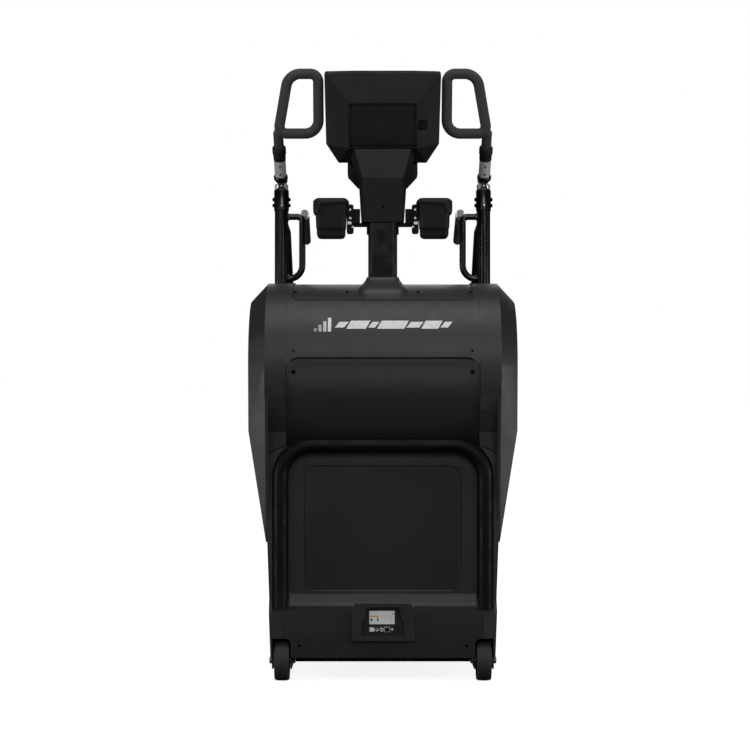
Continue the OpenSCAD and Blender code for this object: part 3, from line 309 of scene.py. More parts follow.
screenGlass = darkGlass("screenGlass", {"colour": (0.006, 0.007, 0.009)})

slotFinish = {
    "shell_plastic": shellPlastic, "black_steel": tubePaint, "frame_steel": framePaint,
    "bare_steel": steelMetal, "bright_metal": brightMetal, "cast_alloy": castMetal,
    "step_alloy": stepPaint, "hard_rubber": wheelRubber, "foam_grip": gripFoam,
    "grey_plastic": greyPlastic, "red_plastic": redPlastic, "screen_glass": screenGlass
}
nodeSlot = {part["node"]: part["material_slot"] for part in record["subparts"]}
for name, obj in frame["nodes"].items():
    obj.data.materials.clear()
    obj.data.materials.append(slotFinish[nodeSlot[name]])
bodyOf = {part: body for body, parts in record["behaviour"]["bodies"].items() for part in parts}
print("materials made")

# Modelling helpers

def finishPiece(
    bm, name, material, body, stands=(), smooth=32, bevel=0.0, segments=3, bevelAngle=30,
    recalc=True
):
    if recalc:
        bmesh.ops.recalc_face_normals(bm, faces=bm.faces)
    mesh = bpy.data.meshes.new(name)
    bm.to_mesh(mesh)
    bm.free()
    obj = bpy.data.objects.new(name, mesh)
    scene.collection.objects.link(obj)
    mesh.materials.append(material)
    mesh.shade_smooth()
    if bevel:
        rounding = obj.modifiers.new("edgeRounding", "BEVEL")
        rounding.width, rounding.segments, rounding.limit_method = bevel, segments, "ANGLE"
        rounding.angle_limit = math.radians(bevelAngle)
        rounding.use_clamp_overlap = True
        rounding.miter_outer = "MITER_ARC"
        even = obj.modifiers.new("evenShading", "WEIGHTED_NORMAL")
        even.keep_sharp = True
    else:
        mesh.set_sharp_from_angle(angle=math.radians(smooth))
    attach(obj, body)
    if stands:
        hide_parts(*stands)
    return obj

def softCopy(nodeName, material, bevel, segments=3, bevelAngle=30, name=None, merge=0.02 * mm):
    # the CAD part's own shape, with its corners rounded as the real moulding's are
    bm = bmesh.new()
    bm.from_mesh(frame["nodes"][nodeName].data)
    bmesh.ops.remove_doubles(bm, verts=bm.verts, dist=merge)
    bmesh.ops.dissolve_limit(bm, angle_limit=math.radians(0.6), verts=bm.verts, edges=bm.edges)
    words = nodeName.split("_")
    title = name or words[0] + "".join(w.title() for w in words[1:])
    return finishPiece(
        bm, title, material, bodyOf[nodeName], [nodeName], bevel=bevel,
        segments=segments, bevelAngle=bevelAngle, recalc=False
    )

def place(origin, zAxis=(0, 0, 1), xAxis=None):
    z = Vector(zAxis).normalized()
    x = Vector(xAxis) if xAxis else (Vector((1, 0, 0)) if abs(z.x) < 0.9 else Vector((0, 1, 0)))
    y = z.cross(x).normalized()
    x = y.cross(z).normalized()
    matrix = Matrix((x, y, z)).transposed().to_4x4()
    matrix.translation = Vector(origin)
    return matrix

def joinInto(bm, part, matrix=Matrix.Identity(4)):
    temp = bpy.data.meshes.new("temp")
    part.to_mesh(temp)
    part.free()
    temp.transform(matrix)
    if matrix.determinant() < 0:
        temp.flip_normals()
    bm.from_mesh(temp)
    bpy.data.meshes.remove(temp)

def lathe(profile, steps=48):
    # profile of (radius, height) points turned about local Z
    bm = bmesh.new()
    verts = [bm.verts.new((r, 0, h)) for r, h in profile]
    edges = [bm.edges.new(pair) for pair in zip(verts, verts[1:])]
    bmesh.ops.spin(
        bm, geom=verts + edges, cent=(0, 0, 0), axis=(0, 0, 1), dvec=(0, 0, 0), angle=2 * math.pi,
        steps=steps, use_merge=True, use_duplicate=False
    )
    bmesh.ops.remove_doubles(bm, verts=bm.verts, dist=1e-6)
    bmesh.ops.recalc_face_normals(bm, faces=bm.faces)
    return bm

def roundedOutline(width, height, radius, perCorner=6):
    points = []
    for cx, cy, start in ((1, 1, 0), (-1, 1, 90), (-1, -1, 180), (1, -1, 270)):
        for i in range(perCorner + 1):
            a = math.radians(start + 90 * i / perCorner)
            x = cx * (width / 2 - radius) + radius * math.cos(a)
            y = cy * (height / 2 - radius) + radius * math.sin(a)
            points.append((x, y))
    return points

def loft(loops, capStart=True, capEnd=True):
    # closed loops of equal length, bridged one to the next
    bm = bmesh.new()
    rings = []
    for loop in loops:
        verts = [bm.verts.new(p) for p in loop]
        rings.append([bm.edges.new((a, b)) for a, b in zip(verts, verts[1:] + verts[:1])])
    for first, second in zip(rings, rings[1:]):
        bmesh.ops.bridge_loops(bm, edges=first + second)
    if capStart:
        bmesh.ops.contextual_create(bm, geom=rings[0])
    if capEnd:
        bmesh.ops.contextual_create(bm, geom=rings[-1])
    bmesh.ops.recalc_face_normals(bm, faces=bm.faces)
    return bm

def slab(outline, low, high):
    # a flat outline in local XY, extruded from low to high
    return loft([[(x, y, low) for x, y in outline], [(x, y, high) for x, y in outline]])

def block(lo, hi):
    bm = bmesh.new()
    bmesh.ops.create_cube(bm, size=1.0)
    size = Vector(hi) - Vector(lo)
    bmesh.ops.scale(bm, vec=size, verts=bm.verts)
    bmesh.ops.translate(bm, vec=(Vector(hi) + Vector(lo)) / 2, verts=bm.verts)
    return bm

def addTurned(bm, profile, steps, where=Matrix.Identity(4)):
    joinInto(bm, lathe(profile, steps), where)

def addBlock(bm, lo, hi, where=Matrix.Identity(4)):
    joinInto(bm, block(lo, hi), where)

def addSlab(bm, outline, low, high, where=Matrix.Identity(4)):
    joinInto(bm, slab(outline, low, high), where)

def sheet(rows):
    # open rows of points, bridged one to the next
    bm = bmesh.new()
    strips = []
    for row in rows:
        verts = [bm.verts.new(p) for p in row]
        strips.append([bm.edges.new(pair) for pair in zip(verts, verts[1:])])
    for low, high in zip(strips, strips[1:]):
        bmesh.ops.bridge_loops(bm, edges=low + high)
    return bm

def bendPath(points, radii, closed=False, step=5):
    # a route of straight runs with round bends, as points
    out = []
    n = len(points)
    pts = [Vector(p) for p in points]
    for i in range(n):
        if not closed and i in (0, n - 1):
            out.append(pts[i])
            continue
        a, b, c = pts[i - 1], pts[i], pts[(i + 1) % n]
        radius = radii[i] if closed else radii[i - 1]
        ta, tc = (a - b).normalized(), (c - b).normalized()
        half = ta.angle(tc) / 2
        start = b + ta * radius / math.tan(half)
        centre = b + (ta + tc).normalized() * radius / math.sin(half)
        turn = math.pi - 2 * half
        count = max(3, int(math.degrees(turn) / step))
        axis = ta.cross(tc).normalized()
        arm = start - centre
        for k in range(count + 1):
            out.append(centre + Matrix.Rotation(-turn * k / count, 3, axis) @ arm)
    return out

def sweep(route, radius, closed=False, sides=28):
    # round tube along a route, as a mesh
    curve = bpy.data.curves.new("route", "CURVE")
    curve.dimensions, curve.bevel_depth, curve.bevel_resolution = "3D", radius, sides // 4
    curve.use_fill_caps = not closed
    line = curve.splines.new("POLY")
    line.points.add(len(route) - 1)
    for point, where in zip(line.points, route):
        point.co = (*where, 1)
    line.use_cyclic_u = closed
    temp = bpy.data.objects.new("route", curve)
    scene.collection.objects.link(temp)
    mesh = bpy.data.meshes.new_from_object(temp.evaluated_get(bpy.context.evaluated_depsgraph_get()))
    bm = bmesh.new()
    bm.from_mesh(mesh)
    bpy.data.objects.remove(temp)
    bpy.data.curves.remove(curve)
    bpy.data.meshes.remove(mesh)
    bmesh.ops.remove_doubles(bm, verts=bm.verts, dist=1e-6)
    bmesh.ops.recalc_face_normals(bm, faces=bm.faces)
    return bm

sides = {"left": -1, "right": 1}

def flipX(point, s):
    return (point[0] * s, point[1], point[2])

# Covers

coverLook = {"edge": 2.5 * mm, "shroudEdge": 14 * mm, "panelEdge": 2.2 * mm}
drum = {
    "y": -0.465, "z": 1.010, "radius": 0.270, "underY": -0.370, "underRadius": 0.365, "top": 1.280,
    "half": 0.3085, "stepBack": 0.006
}
def onDrum(x, z, out=0.0):
    # a point on the drum's front at height z, and the way it faces
    above = z >= drum["z"]
    y, radius = (drum["y"], drum["radius"]) if above else (drum["underY"], drum["underRadius"])
    a = math.asin(min(1.0, (z - drum["z"]) / radius))
    n = Vector((0, -math.cos(a), math.sin(a)))
    return Vector((x, y, drum["z"])) + n * (radius + out), n

def smooth(t):
    t = max(0.0, min(1.0, t))
    return t * t * (3 - 2 * t)

tray = {"front": 1.219, "half": 0.290, "corner": 0.022, "depth": 0.0028, "rear": -0.225, "bead": 0.0022}
def makeUpperCover():
    # the cover with its shallow tray pressed into the top
    rows = []
    start = math.asin((tray["front"] - drum["z"]) / drum["radius"])
    count = 26
    for i in range(count + 1):
        a = start + (math.pi / 2 - start) * i / count
        t = (a - start) * drum["radius"]
        c = tray["corner"]
        half = tray["half"] - c + math.sqrt(max(0.0, c * c - max(0.0, c - t - 0.0006) ** 2))
        n = Vector((0, -math.cos(a), math.sin(a)))
        rows.append((half, Vector((0, drum["y"], drum["z"])), n, drum["radius"]))
    rows.append((tray["half"], Vector((0, tray["rear"], drum["z"])), Vector((0, 0, 1)), drum["radius"]))
    loops = []
    for half, centre, n, radius in rows:
        low, high = centre + n * (radius - tray["depth"]), centre + n * (radius + 0.006)
        corners = (-half, low), (half, low), (half, high), (-half, high)
        loops.append([(x, edge.y, edge.z) for x, edge in corners])
    cutter = bpy.data.objects.new("trayCutter", bpy.data.meshes.new("trayCutter"))
    bm = loft(loops)
    bm.to_mesh(cutter.data)
    bm.free()
    scene.collection.objects.link(cutter)
    cover = softCopy("front_upper_cover", shellPlastic, 1.2 * mm)
    cut = cover.modifiers.new("tray", "BOOLEAN")
    cut.object, cut.operation, cut.solver = cutter, "DIFFERENCE", "EXACT"
    cover.modifiers.move(cover.modifiers.find("tray"), 0)
    for later in list(cover.modifiers)[1:]:
        later.show_viewport = False
    shaped = bpy.data.meshes.new_from_object(cover.evaluated_get(bpy.context.evaluated_depsgraph_get()))
    cover.modifiers.remove(cover.modifiers["tray"])
    for later in cover.modifiers:
        later.show_viewport = True
    cover.data = shaped
    bpy.data.objects.remove(cutter)

def trayPoint(x, t):
    # t is the distance from the tray's front edge, over the drum's curve and then along its flat top
    start = math.asin((tray["front"] - drum["z"]) / drum["radius"])
    a = start + t / drum["radius"]
    if a < math.pi / 2:
        return Vector(
            (x, drum["y"] - drum["radius"] * math.cos(a), drum["z"] + drum["radius"] * math.sin(a))
        )
    return Vector((x, drum["y"] + (a - math.pi / 2) * drum["radius"], drum["top"]))

def makeTrayBead():
    # raised dark bead round the tray: painted shade along the tray's stepped edge
    c, half = tray["corner"], tray["half"]
    quarter = [
        (half - c + c * math.cos(a), c - c * math.sin(a)) for a in (math.pi / 2 * i / 8 for i in range(9))
    ]
    side = [(half, t) for t in (0.285 - 0.012 * i for i in range(22))]
    run = side + quarter
    route = [trayPoint(x, t) for x, t in run] + [trayPoint(-x, t) for x, t in reversed(run)]
    finishPiece(
        sweep(route, tray["bead"], sides=12), "trayShadeBead", darkPlastic, "machine",
        smooth=50
    )

cove = {
    "low": 0.752, "high": 1.035, "corner": 0.044, "from": 1.012, "to": 0.915, "depth": 0.010,
    "sideFrom": 0.284, "sideTo": 0.303, "thick": 0.004
}
def makeMiddleCover():
    # set back under the upper cover's edge, then swelling out to the drum
    heights = [cove["low"] + (cove["to"] - 0.012 - cove["low"]) * i / 16 for i in range(16)]
    heights += [cove["to"] - 0.012 + (cove["high"] - cove["to"] + 0.0119) * i / 30 for i in range(31)]
    rows = []
    for z in heights:
        lift = max(0.0, z - (cove["high"] - cove["corner"]))
        half = drum["half"] - 0.0003 - cove["corner"] + math.sqrt(
            max(1e-8, cove["corner"] ** 2 - lift ** 2)
        )
        row = []
        for k in range(41):
            x = half * math.sin(math.pi / 2 * (k - 20) / 20)
            inward = smooth((cove["sideTo"] - abs(x)) / (cove["sideTo"] - cove["sideFrom"]))
            inside = smooth((z - cove["to"]) / (cove["from"] - cove["to"])) * inward
            row.append(tuple(onDrum(x, z, -drum["stepBack"] - cove["depth"] * inside)[0]))
        rows.append(row)
    bm = sheet(rows)
    bmesh.ops.recalc_face_normals(bm, faces=bm.faces)
    if bm.faces[:][0].normal.y > 0:
        bmesh.ops.reverse_faces(bm, faces=bm.faces)
    bmesh.ops.solidify(bm, geom=bm.faces[:], thickness=cove["thick"])
    finishPiece(
        bm, "frontMiddleCover", shellPlastic, "machine", ["front_middle_cover"],
        smooth=45
    )

leg = {
    "front": -0.665, "back": -0.6545, "inner": 0.3535, "outer": 0.3755, "lowOuter": 0.3615,
    "midOuter": 0.3735, "midZ": 0.560, "fullZ": 0.700, "low": 0.224, "bendX": 0.2255, "bendZ": 0.651,
    "bend": 0.1285, "top": 0.803, "seamX": 0.3095, "gap": 0.0008
}
def makeLegCovers():
    # strips beside the hoop, parted by a seam that runs round the hoop's bend
    seam = [(leg["outer"], 0.7115), (0.3594, 0.7282), (0.3382, 0.7414), (leg["seamX"], 0.7500)]
    for side, s in sides.items():
        lower = [(leg["lowOuter"], leg["low"]), (leg["midOuter"], leg["midZ"])]
        lower += [(leg["outer"], leg["fullZ"])]
        lower += [(x, z - leg["gap"]) for x, z in seam]
        reach = math.degrees(math.acos((leg["seamX"] - leg["bendX"]) / leg["bend"]))
        for i in range(10, -1, -1):
            a = math.radians(reach * i / 10)
            x, z = leg["bendX"] + leg["bend"] * math.cos(a), leg["bendZ"] + leg["bend"] * math.sin(a)
            lower.append((x, z))
        lower += [(leg["inner"], leg["low"])]
        upper = [(leg["outer"], leg["top"]), (leg["seamX"], leg["top"])]
        upper += [(x, z + leg["gap"]) for x, z in reversed(seam)]
        # the shoulder under the drum's curve takes the darker plastic: painted shade
        pieces = ("LegCover", lower, shellPlastic), ("LegShoulder", upper, lowPlastic)
        for name, outline, plastic in pieces:
            bm = bmesh.new()
            addSlab(
                bm, [(s * x, z) for x, z in outline], 0, leg["back"] - leg["front"],
                Matrix.Translation((0, leg["back"], 0)) @ Matrix.Rotation(math.radians(90), 4, "X")
            )
            finishPiece(bm, side + name, plastic, "machine", bevel=2.2 * mm, segments=3)

apron = {
    "half": 0.300, "points": [(-0.6505, 0.2900), (-0.6535, 0.2560), (-0.6640, 0.2350), (-0.7035, 0.2240)],
    "rows": 18, "side": 0.02, "back": -0.640, "under": 0.2235
}
def makeApron():
    # the panel's foot sweeps forward into the bumper's top
    p, half = apron["points"], apron["half"]
    rows = []
    for i in range(apron["rows"] + 1):
        t = i / apron["rows"]
        w = [(1 - t) ** 3, 3 * t * (1 - t) ** 2, 3 * t * t * (1 - t), t ** 3]
        y, z = (sum(w[k] * p[k][j] for k in range(4)) for j in (0, 1))
        rows.append([(x, y, z) for x in (-half, -half + apron["side"], half - apron["side"], half)])
    bm = sheet(rows)
    base = bmesh.ops.extrude_face_region(bm, geom=bm.faces[:])
    moved = [v for v in base["geom"] if isinstance(v, bmesh.types.BMVert)]
    for v in moved:
        v.co.y, v.co.z = max(v.co.y, apron["back"]), min(v.co.z, apron["under"])
    bmesh.ops.recalc_face_normals(bm, faces=bm.faces)
    finishPiece(bm, "panelApron", shellPlastic, "machine", smooth=40)

makeUpperCover()
makeTrayBead()
makeMiddleCover()
makeLegCovers()
makeApron()
softCopy("front_lower_panel", lowPlastic, coverLook["panelEdge"])
softCopy("front_bumper", lowPlastic, coverLook["edge"])
for side in sides:
    softCopy(side + "_side_shroud", shellPlastic, coverLook["shroudEdge"], 4, 25)
softCopy("dash_panel", shellPlastic, 2 * mm)
softCopy("entry_platform", lowPlastic, 6 * mm)

# width, front, back, corner and height of each ring
boot = [
    (0.160, -0.618, -0.436, 0.030, 1.205), (0.164, -0.622, -0.434, 0.034, 1.222),
    (0.163, -0.619, -0.435, 0.034, 1.240), (0.159, -0.610, -0.438, 0.033, 1.252),
    (0.151, -0.597, -0.442, 0.031, 1.262), (0.138, -0.580, -0.447, 0.027, 1.271),
    (0.123, -0.564, -0.451, 0.023, 1.280), (0.111, -0.552, -0.455, 0.018, 1.288),
    (0.1065, -0.547, -0.457, 0.016, 1.294), (0.1050, -0.5455, -0.4575, 0.015, 1.2965),
    (0.1010, -0.5415, -0.4595, 0.012, 1.2980)
]
def makeBoot():
    rings = []
    for width, front, back, corner, z in boot:
        mid = (front + back) / 2
        rings.append([(x, mid + y, z) for x, y in roundedOutline(width, back - front, corner, 8)])
    bm = loft(rings)
    finishPiece(bm, "mastBoot", shellPlastic, "machine", ["mast_boot"], smooth=50)
makeBoot()

shadeUndertray = {"half": 0.308, "front": -0.560, "back": 0.655, "low": 0.046, "lip": 0.016, "sheet": 0.002}
def makeUndertray():
    # black pan hung below the frame, with turned-up edges: a dark sheet standing in for the shade inside
    # the machine, so the gaps show black, not the glowing floor
    u = shadeUndertray
    mid, length = (u["front"] + u["back"]) / 2, u["back"] - u["front"]
    def ring(inset, z, radius):
        outline = roundedOutline(2 * (u["half"] - inset), length - 2 * inset, radius, 5)
        return [(x, mid + y, z) for x, y in outline]
    t, low, top = u["sheet"], u["low"], u["low"] + u["lip"]
    outside = [ring(0.004, low, 0.016), ring(0, low + 0.004, 0.020), ring(0, top, 0.020)]
    inside = [ring(t, top, 0.018), ring(t, low + 0.004 + t, 0.018), ring(0.004 + t, low + t, 0.014)]
    bm = loft(outside + inside)
    finishPiece(bm, "shadeUndertray", hoopPaint, "machine")
makeUndertray()
softCopy("inlet_panel", lowPlastic, 2.5 * mm)
print("covers made")

# Tubes and handles

hoop = {"x": 0.328, "y": -0.680, "foot": 0.150, "top": 0.754, "bend": 0.103, "radius": 0.0225}
route = bendPath(
    [
        (-hoop["x"], hoop["y"], hoop["foot"]), (-hoop["x"], hoop["y"], hoop["top"]),
        (hoop["x"], hoop["y"], hoop["top"]), (hoop["x"], hoop["y"], hoop["foot"])
    ],
    [hoop["bend"]] * 2, step=3
)
finishPiece(
    sweep(route, hoop["radius"]), "frontHoop", hoopPaint, "machine", ["front_hoop"],
    smooth=50
)

rails = {
    "uprightX": 0.340, "uprightY": -0.330, "uprightFoot": 0.460, "uprightTop": 1.574,
    "uprightRadius": 0.023, "railX": 0.328, "railFootY": 0.520, "railTop": 1.497, "slope": 0.8,
    "railRadius": 0.018, "frameTop": 0.112, "gripX": 0.270, "gripLow": 1.302, "gripHigh": 1.511,
    "gripRadius": 0.011,
    "pulseFrom": (0.262, -0.324, 1.522), "pulseTo": (0.272, 0.150, 1.462), "pulseRadius": 0.0155,
}
def makeHandrail(side, s):
    r = rails
    bm = bmesh.new()
    joinInto(
        bm,
        sweep(
            [
                Vector((s * r["uprightX"], r["uprightY"], z))
                for z in (r["uprightFoot"], 1.0, r["uprightTop"])
            ],
            r["uprightRadius"], sides=36
        )
    )
    top = (s * r["uprightX"], r["uprightY"], r["railTop"])
    bend = (s * r["railX"], r["uprightY"] + 0.045, r["railTop"] - r["slope"] * 0.045)
    knee = (s * r["railX"], r["railFootY"], r["railTop"] - r["slope"] * (r["railFootY"] - r["uprightY"]))
    foot = (s * r["railX"], r["railFootY"], r["frameTop"])
    joinInto(bm, sweep(bendPath([top, bend, knee, foot], [0.06, 0.11]), r["railRadius"], sides=32))
    grip = [
        (s * r["uprightX"], r["uprightY"], r["gripHigh"]), (s * r["gripX"], r["uprightY"], r["gripHigh"]),
        (s * r["gripX"], r["uprightY"], r["gripLow"]), (s * r["uprightX"], r["uprightY"], r["gripLow"])
    ]
    joinInto(bm, sweep(bendPath(grip, [0.017, 0.045]), r["gripRadius"]))
    # weld beads where the tubes meet
    for z, radius in ((r["gripHigh"], r["gripRadius"]), (r["gripLow"], r["gripRadius"])):
        ring = lathe(
            [
                (radius + 0.0002, 0), (radius + 0.0028, 0.0004), (radius + 0.0006, 0.0032),
                (radius - 0.002, 0.0032), (radius - 0.002, 0)
            ],
            24
        )
        joinInto(
            bm, ring,
            place((s * (r["uprightX"] - r["uprightRadius"] + 0.0004), r["uprightY"], z), (-s, 0, 0))
        )
    for z in (r["uprightFoot"] + 0.010, 1.090):
        addBlock(
            bm, (min(s * 0.310, s * r["uprightX"]), r["uprightY"] - 0.016, z),
            (max(s * 0.310, s * r["uprightX"]), r["uprightY"] + 0.016, z + 0.050)
        )
    start, end = Vector(flipX(r["pulseFrom"], s)), Vector(flipX(r["pulseTo"], s))
    direction = (end - start).normalized()
    joinInto(bm, sweep([start - direction * 0.008, end - direction * 0.003], r["pulseRadius"] - 0.003))
    finishPiece(
        bm, side + "Handrail", tubePaint, "machine", [side + "_handrail"], smooth=50,
        recalc=False
    )

def makePulseGrip(side, s):
    r = rails
    start, end = Vector(flipX(r["pulseFrom"], s)), Vector(flipX(r["pulseTo"], s))
    direction = (end - start).normalized()
    length = (end - start).length
    grip = r["pulseRadius"]
    whole = place(start, direction)
    # ribbed sleeve
    profile = [(grip - 0.003, 0.030), (grip - 0.001, 0.030), (grip, 0.032)]
    z = 0.040
    while z < length - 0.034:
        profile += [(grip, z), (grip - 0.0009, z + 0.0012), (grip - 0.0009, z + 0.0030), (grip, z + 0.0042)]
        z += 0.012
    profile += [(grip, length - 0.014), (grip - 0.0012, length - 0.012), (grip - 0.003, length - 0.012)]
    sleeve = bmesh.new()
    addTurned(sleeve, profile, 32, whole)
    stands = ["pulse_grips"] if side == "left" else []
    finishPiece(sleeve, side + "PulseSleeve", gripFoam, "machine", stands, recalc=False)
    ring = bmesh.new()
    addTurned(
        ring,
        [
            (grip - 0.003, 0.006), (grip - 0.0008, 0.006), (grip + 0.0004, 0.0072),
            (grip + 0.0004, 0.0288), (grip - 0.0008, 0.030), (grip - 0.003, 0.030)
        ],
        36, whole
    )
    addTurned(
        ring,
        [
            (0.0, length - 0.002), (grip - 0.004, length - 0.002), (grip - 0.001, length - 0.004),
            (grip + 0.0002, length - 0.008), (grip + 0.0002, length - 0.012),
            (grip - 0.003, length - 0.012)
        ],
        36, whole
    )
    finishPiece(ring, side + "PulseSensor", brightMetal, "machine", recalc=False)

push = {
    "low": (0.346, -0.440, 1.778), "lean": 15, "innerX": 0.212, "topX": 0.310, "height": 0.197,
    "radius": 0.0175, "bends": [0.024, 0.045, 0.026, 0.048]
}
uprightTop = (0.341, -0.330, 1.622)
def poleDirection(s):
    return (Vector(flipX(push["low"], s)) - Vector(flipX(uprightTop, s))).normalized()

def makePushHandle(side, s):
    lean = math.radians(push["lean"])
    def at(x, up):
        return (s * x, push["low"][1] - up * math.sin(lean), push["low"][2] + up * math.cos(lean))
    corners = [
        flipX(push["low"], s), at(push["innerX"], 0), at(push["innerX"], push["height"]),
        at(push["topX"], push["height"])
    ]
    bm = sweep(bendPath(corners, push["bends"], closed=True, step=4), push["radius"], closed=True, sides=32)
    low, d = Vector(corners[0]), poleDirection(s)
    joinInto(bm, sweep([low - d * 0.050, low - d * 0.025, low], push["radius"] - 0.0008, sides=32))
    ball = bmesh.new()
    bmesh.ops.create_uvsphere(ball, u_segments=32, v_segments=20, radius=push["radius"] - 0.0006)
    joinInto(bm, ball, place(low, d))
    finishPiece(
        bm, side + "PushHandleFoam", gripFoam, "machine", [side + "_push_handle"], smooth=60,
        recalc=False
    )
    tube = push["radius"]
    collar = bmesh.new()
    addTurned(
        collar,
        [
            (0, -0.098), (tube + 0.0026, -0.098), (tube + 0.0030, -0.0965), (tube + 0.0036, -0.080),
            (tube + 0.0050, -0.074), (tube + 0.0054, -0.070), (tube + 0.0054, -0.055),
            (tube + 0.0044, -0.0515), (tube + 0.0020, -0.050), (0, -0.050)
        ],
        40, place(low, d)
    )
    finishPiece(collar, side + "PoleCollar", darkPlastic, "machine", recalc=False)
    coupler = bmesh.new()
    addTurned(
        coupler,
        [
            (0, -0.158), (tube + 0.0014, -0.158), (tube + 0.0020, -0.1572), (tube + 0.0020, -0.0988),
            (tube + 0.0014, -0.098), (0, -0.098)
        ],
        48, place(low, d)
    )
    finishPiece(
        coupler, side + "PoleCoupler", brightMetal, "machine",
        ["handle_couplers"] if side == "left" else [], recalc=False
    )
    # two set screws in the coupler, facing the console end
    screws = bmesh.new()
    facing = Vector((0, -1, 0)) - d * Vector((0, -1, 0)).dot(d)
    for t in (-0.145, -0.115):
        addTurned(
            screws,
            [
                (0, 0.0002), (0.0014, 0.0002), (0.0014, 0.0009), (0.0030, 0.0009), (0.0033, 0.0005),
                (0.0033, -0.003), (0, -0.003)
            ],
            20, place(low + d * t + facing.normalized() * (tube + 0.0019), facing)
        )
    finishPiece(screws, side + "CouplerScrews", screwAndShadeBlack, "machine", recalc=False)

def makeClamp(side, s):
    r = rails
    ro = r["uprightRadius"] + 0.0022
    foot = Vector((s * r["uprightX"], r["uprightY"], 0))
    low, d = Vector(flipX(push["low"], s)), poleDirection(s)
    top = low - d * 0.158
    bm = bmesh.new()
    profile = [
        (r["uprightRadius"], 1.5300), (ro - 0.0008, 1.5300), (ro, 1.5310), (ro, 1.5985),
        (ro - 0.0015, 1.6010), (0.0190, 1.6018), (0, 1.6018)
    ]
    addTurned(bm, profile, 48, Matrix.Translation(foot))
    joinInto(bm, sweep([Vector((foot.x, foot.y, 1.595)), top - d * 0.006], 0.0125))
    ring = push["radius"] + 0.0060
    addTurned(
        bm,
        [
            (0, -0.022), (0.0130, -0.022), (0.0190, -0.019), (ring, -0.013), (ring + 0.0004, -0.004),
            (ring - 0.0008, -0.001), (ring - 0.003, 0), (0, 0)
        ],
        40, place(top, d)
    )
    # fork across the joint, narrow in the middle
    fork = [
        (0.0165, 1.6005), (0.0135, 1.6060), (0.0085, 1.6120), (0.0080, 1.6150), (0.0110, 1.6205),
        (0.0185, 1.6290), (0.0195, 1.6360)
    ]
    outline = [(x, z) for x, z in fork] + [(-x, z) for x, z in reversed(fork)]
    addSlab(
        bm, [(foot.x + x, z) for x, z in outline], -0.0235, 0.0235,
        Matrix.Translation((0, foot.y, 0)) @ Matrix.Rotation(math.radians(90), 4, "X")
    )
    finishPiece(
        bm, side + "HandleClamp", tubePaint, "machine",
        ["handle_clamps"] if side == "left" else [], recalc=False
    )
    sleeve = bmesh.new()
    addTurned(
        sleeve,
        [
            (0.0120, 1.6016), (0.0222, 1.6016), (0.0226, 1.6024), (0.0226, 1.6190), (0.0218, 1.6200),
            (0.0120, 1.6206)
        ],
        48, Matrix.Translation(foot)
    )
    finishPiece(sleeve, side + "ClampSleeve", brightMetal, "machine", recalc=False)
    bolts = bmesh.new()
    for z in (1.5490, 1.5690):
        for k in (-1, 1):
            at = (foot.x + k * (ro - 0.0006), foot.y, z)
            addTurned(
                bolts, [(0.0, 0.0012), (0.0076, 0.0012), (0.0080, 0.0007), (0.0080, -0.001), (0, -0.001)],
                24, place(at, (k, 0, 0))
            )
            addTurned(
                bolts,
                [
                    (0, 0.0064), (0.0036, 0.0064), (0.0060, 0.0052), (0.0064, 0.0042), (0.0064, 0.0010),
                    (0, 0.0010)
                ],
                6, place(at, (k, 0, 0))
            )
    finishPiece(bolts, side + "ClampBolts", screwAndShadeBlack, "machine", recalc=False)
    pin = bmesh.new()
    addTurned(
        pin, [(0, 0.0016), (0.0018, 0.0014), (0.0027, 0.0006), (0.0029, -0.002), (0, -0.002)], 20,
        place((foot.x, foot.y - 0.0235, 1.6135), (0, -1, 0))
    )
    addTurned(
        pin, [(0, 0.0016), (0.0022, 0.0014), (0.0030, 0.0006), (0.0032, -0.002), (0, -0.002)], 20,
        place((foot.x + 0.0015, foot.y - ro + 0.0004, 1.5475), (0, -1, 0))
    )
    finishPiece(pin, side + "ClampPin", brightMetal, "machine", recalc=False)

for side, s in sides.items():
    makeHandrail(side, s)
    makePulseGrip(side, s)
    makePushHandle(side, s)
    makeClamp(side, s)
softCopy("mast", tubePaint, 0.6 * mm)
print("tubes and handles made")

# Console

consoleLook = {
    "y": -0.480, "z": 1.823, "tilt": 22, "backMid": -0.014, "backDepth": 0.040, "ribPitch": 0.0074
}
consoleTurn = Matrix.Rotation(math.radians(90 + consoleLook["tilt"]), 4, "X")
consoleSpace = Matrix.Translation((0, consoleLook["y"], consoleLook["z"])) @ consoleTurn
softCopy("console_back_cover", consolePlastic, 3 * mm, 3, 12)
softCopy("console_bezel", consolePlastic, 2.5 * mm)
softCopy("neck_cover", consolePlastic, 9 * mm, 4, 12)
softCopy("keypad_pod", consolePlastic, 4 * mm, 3, 20)

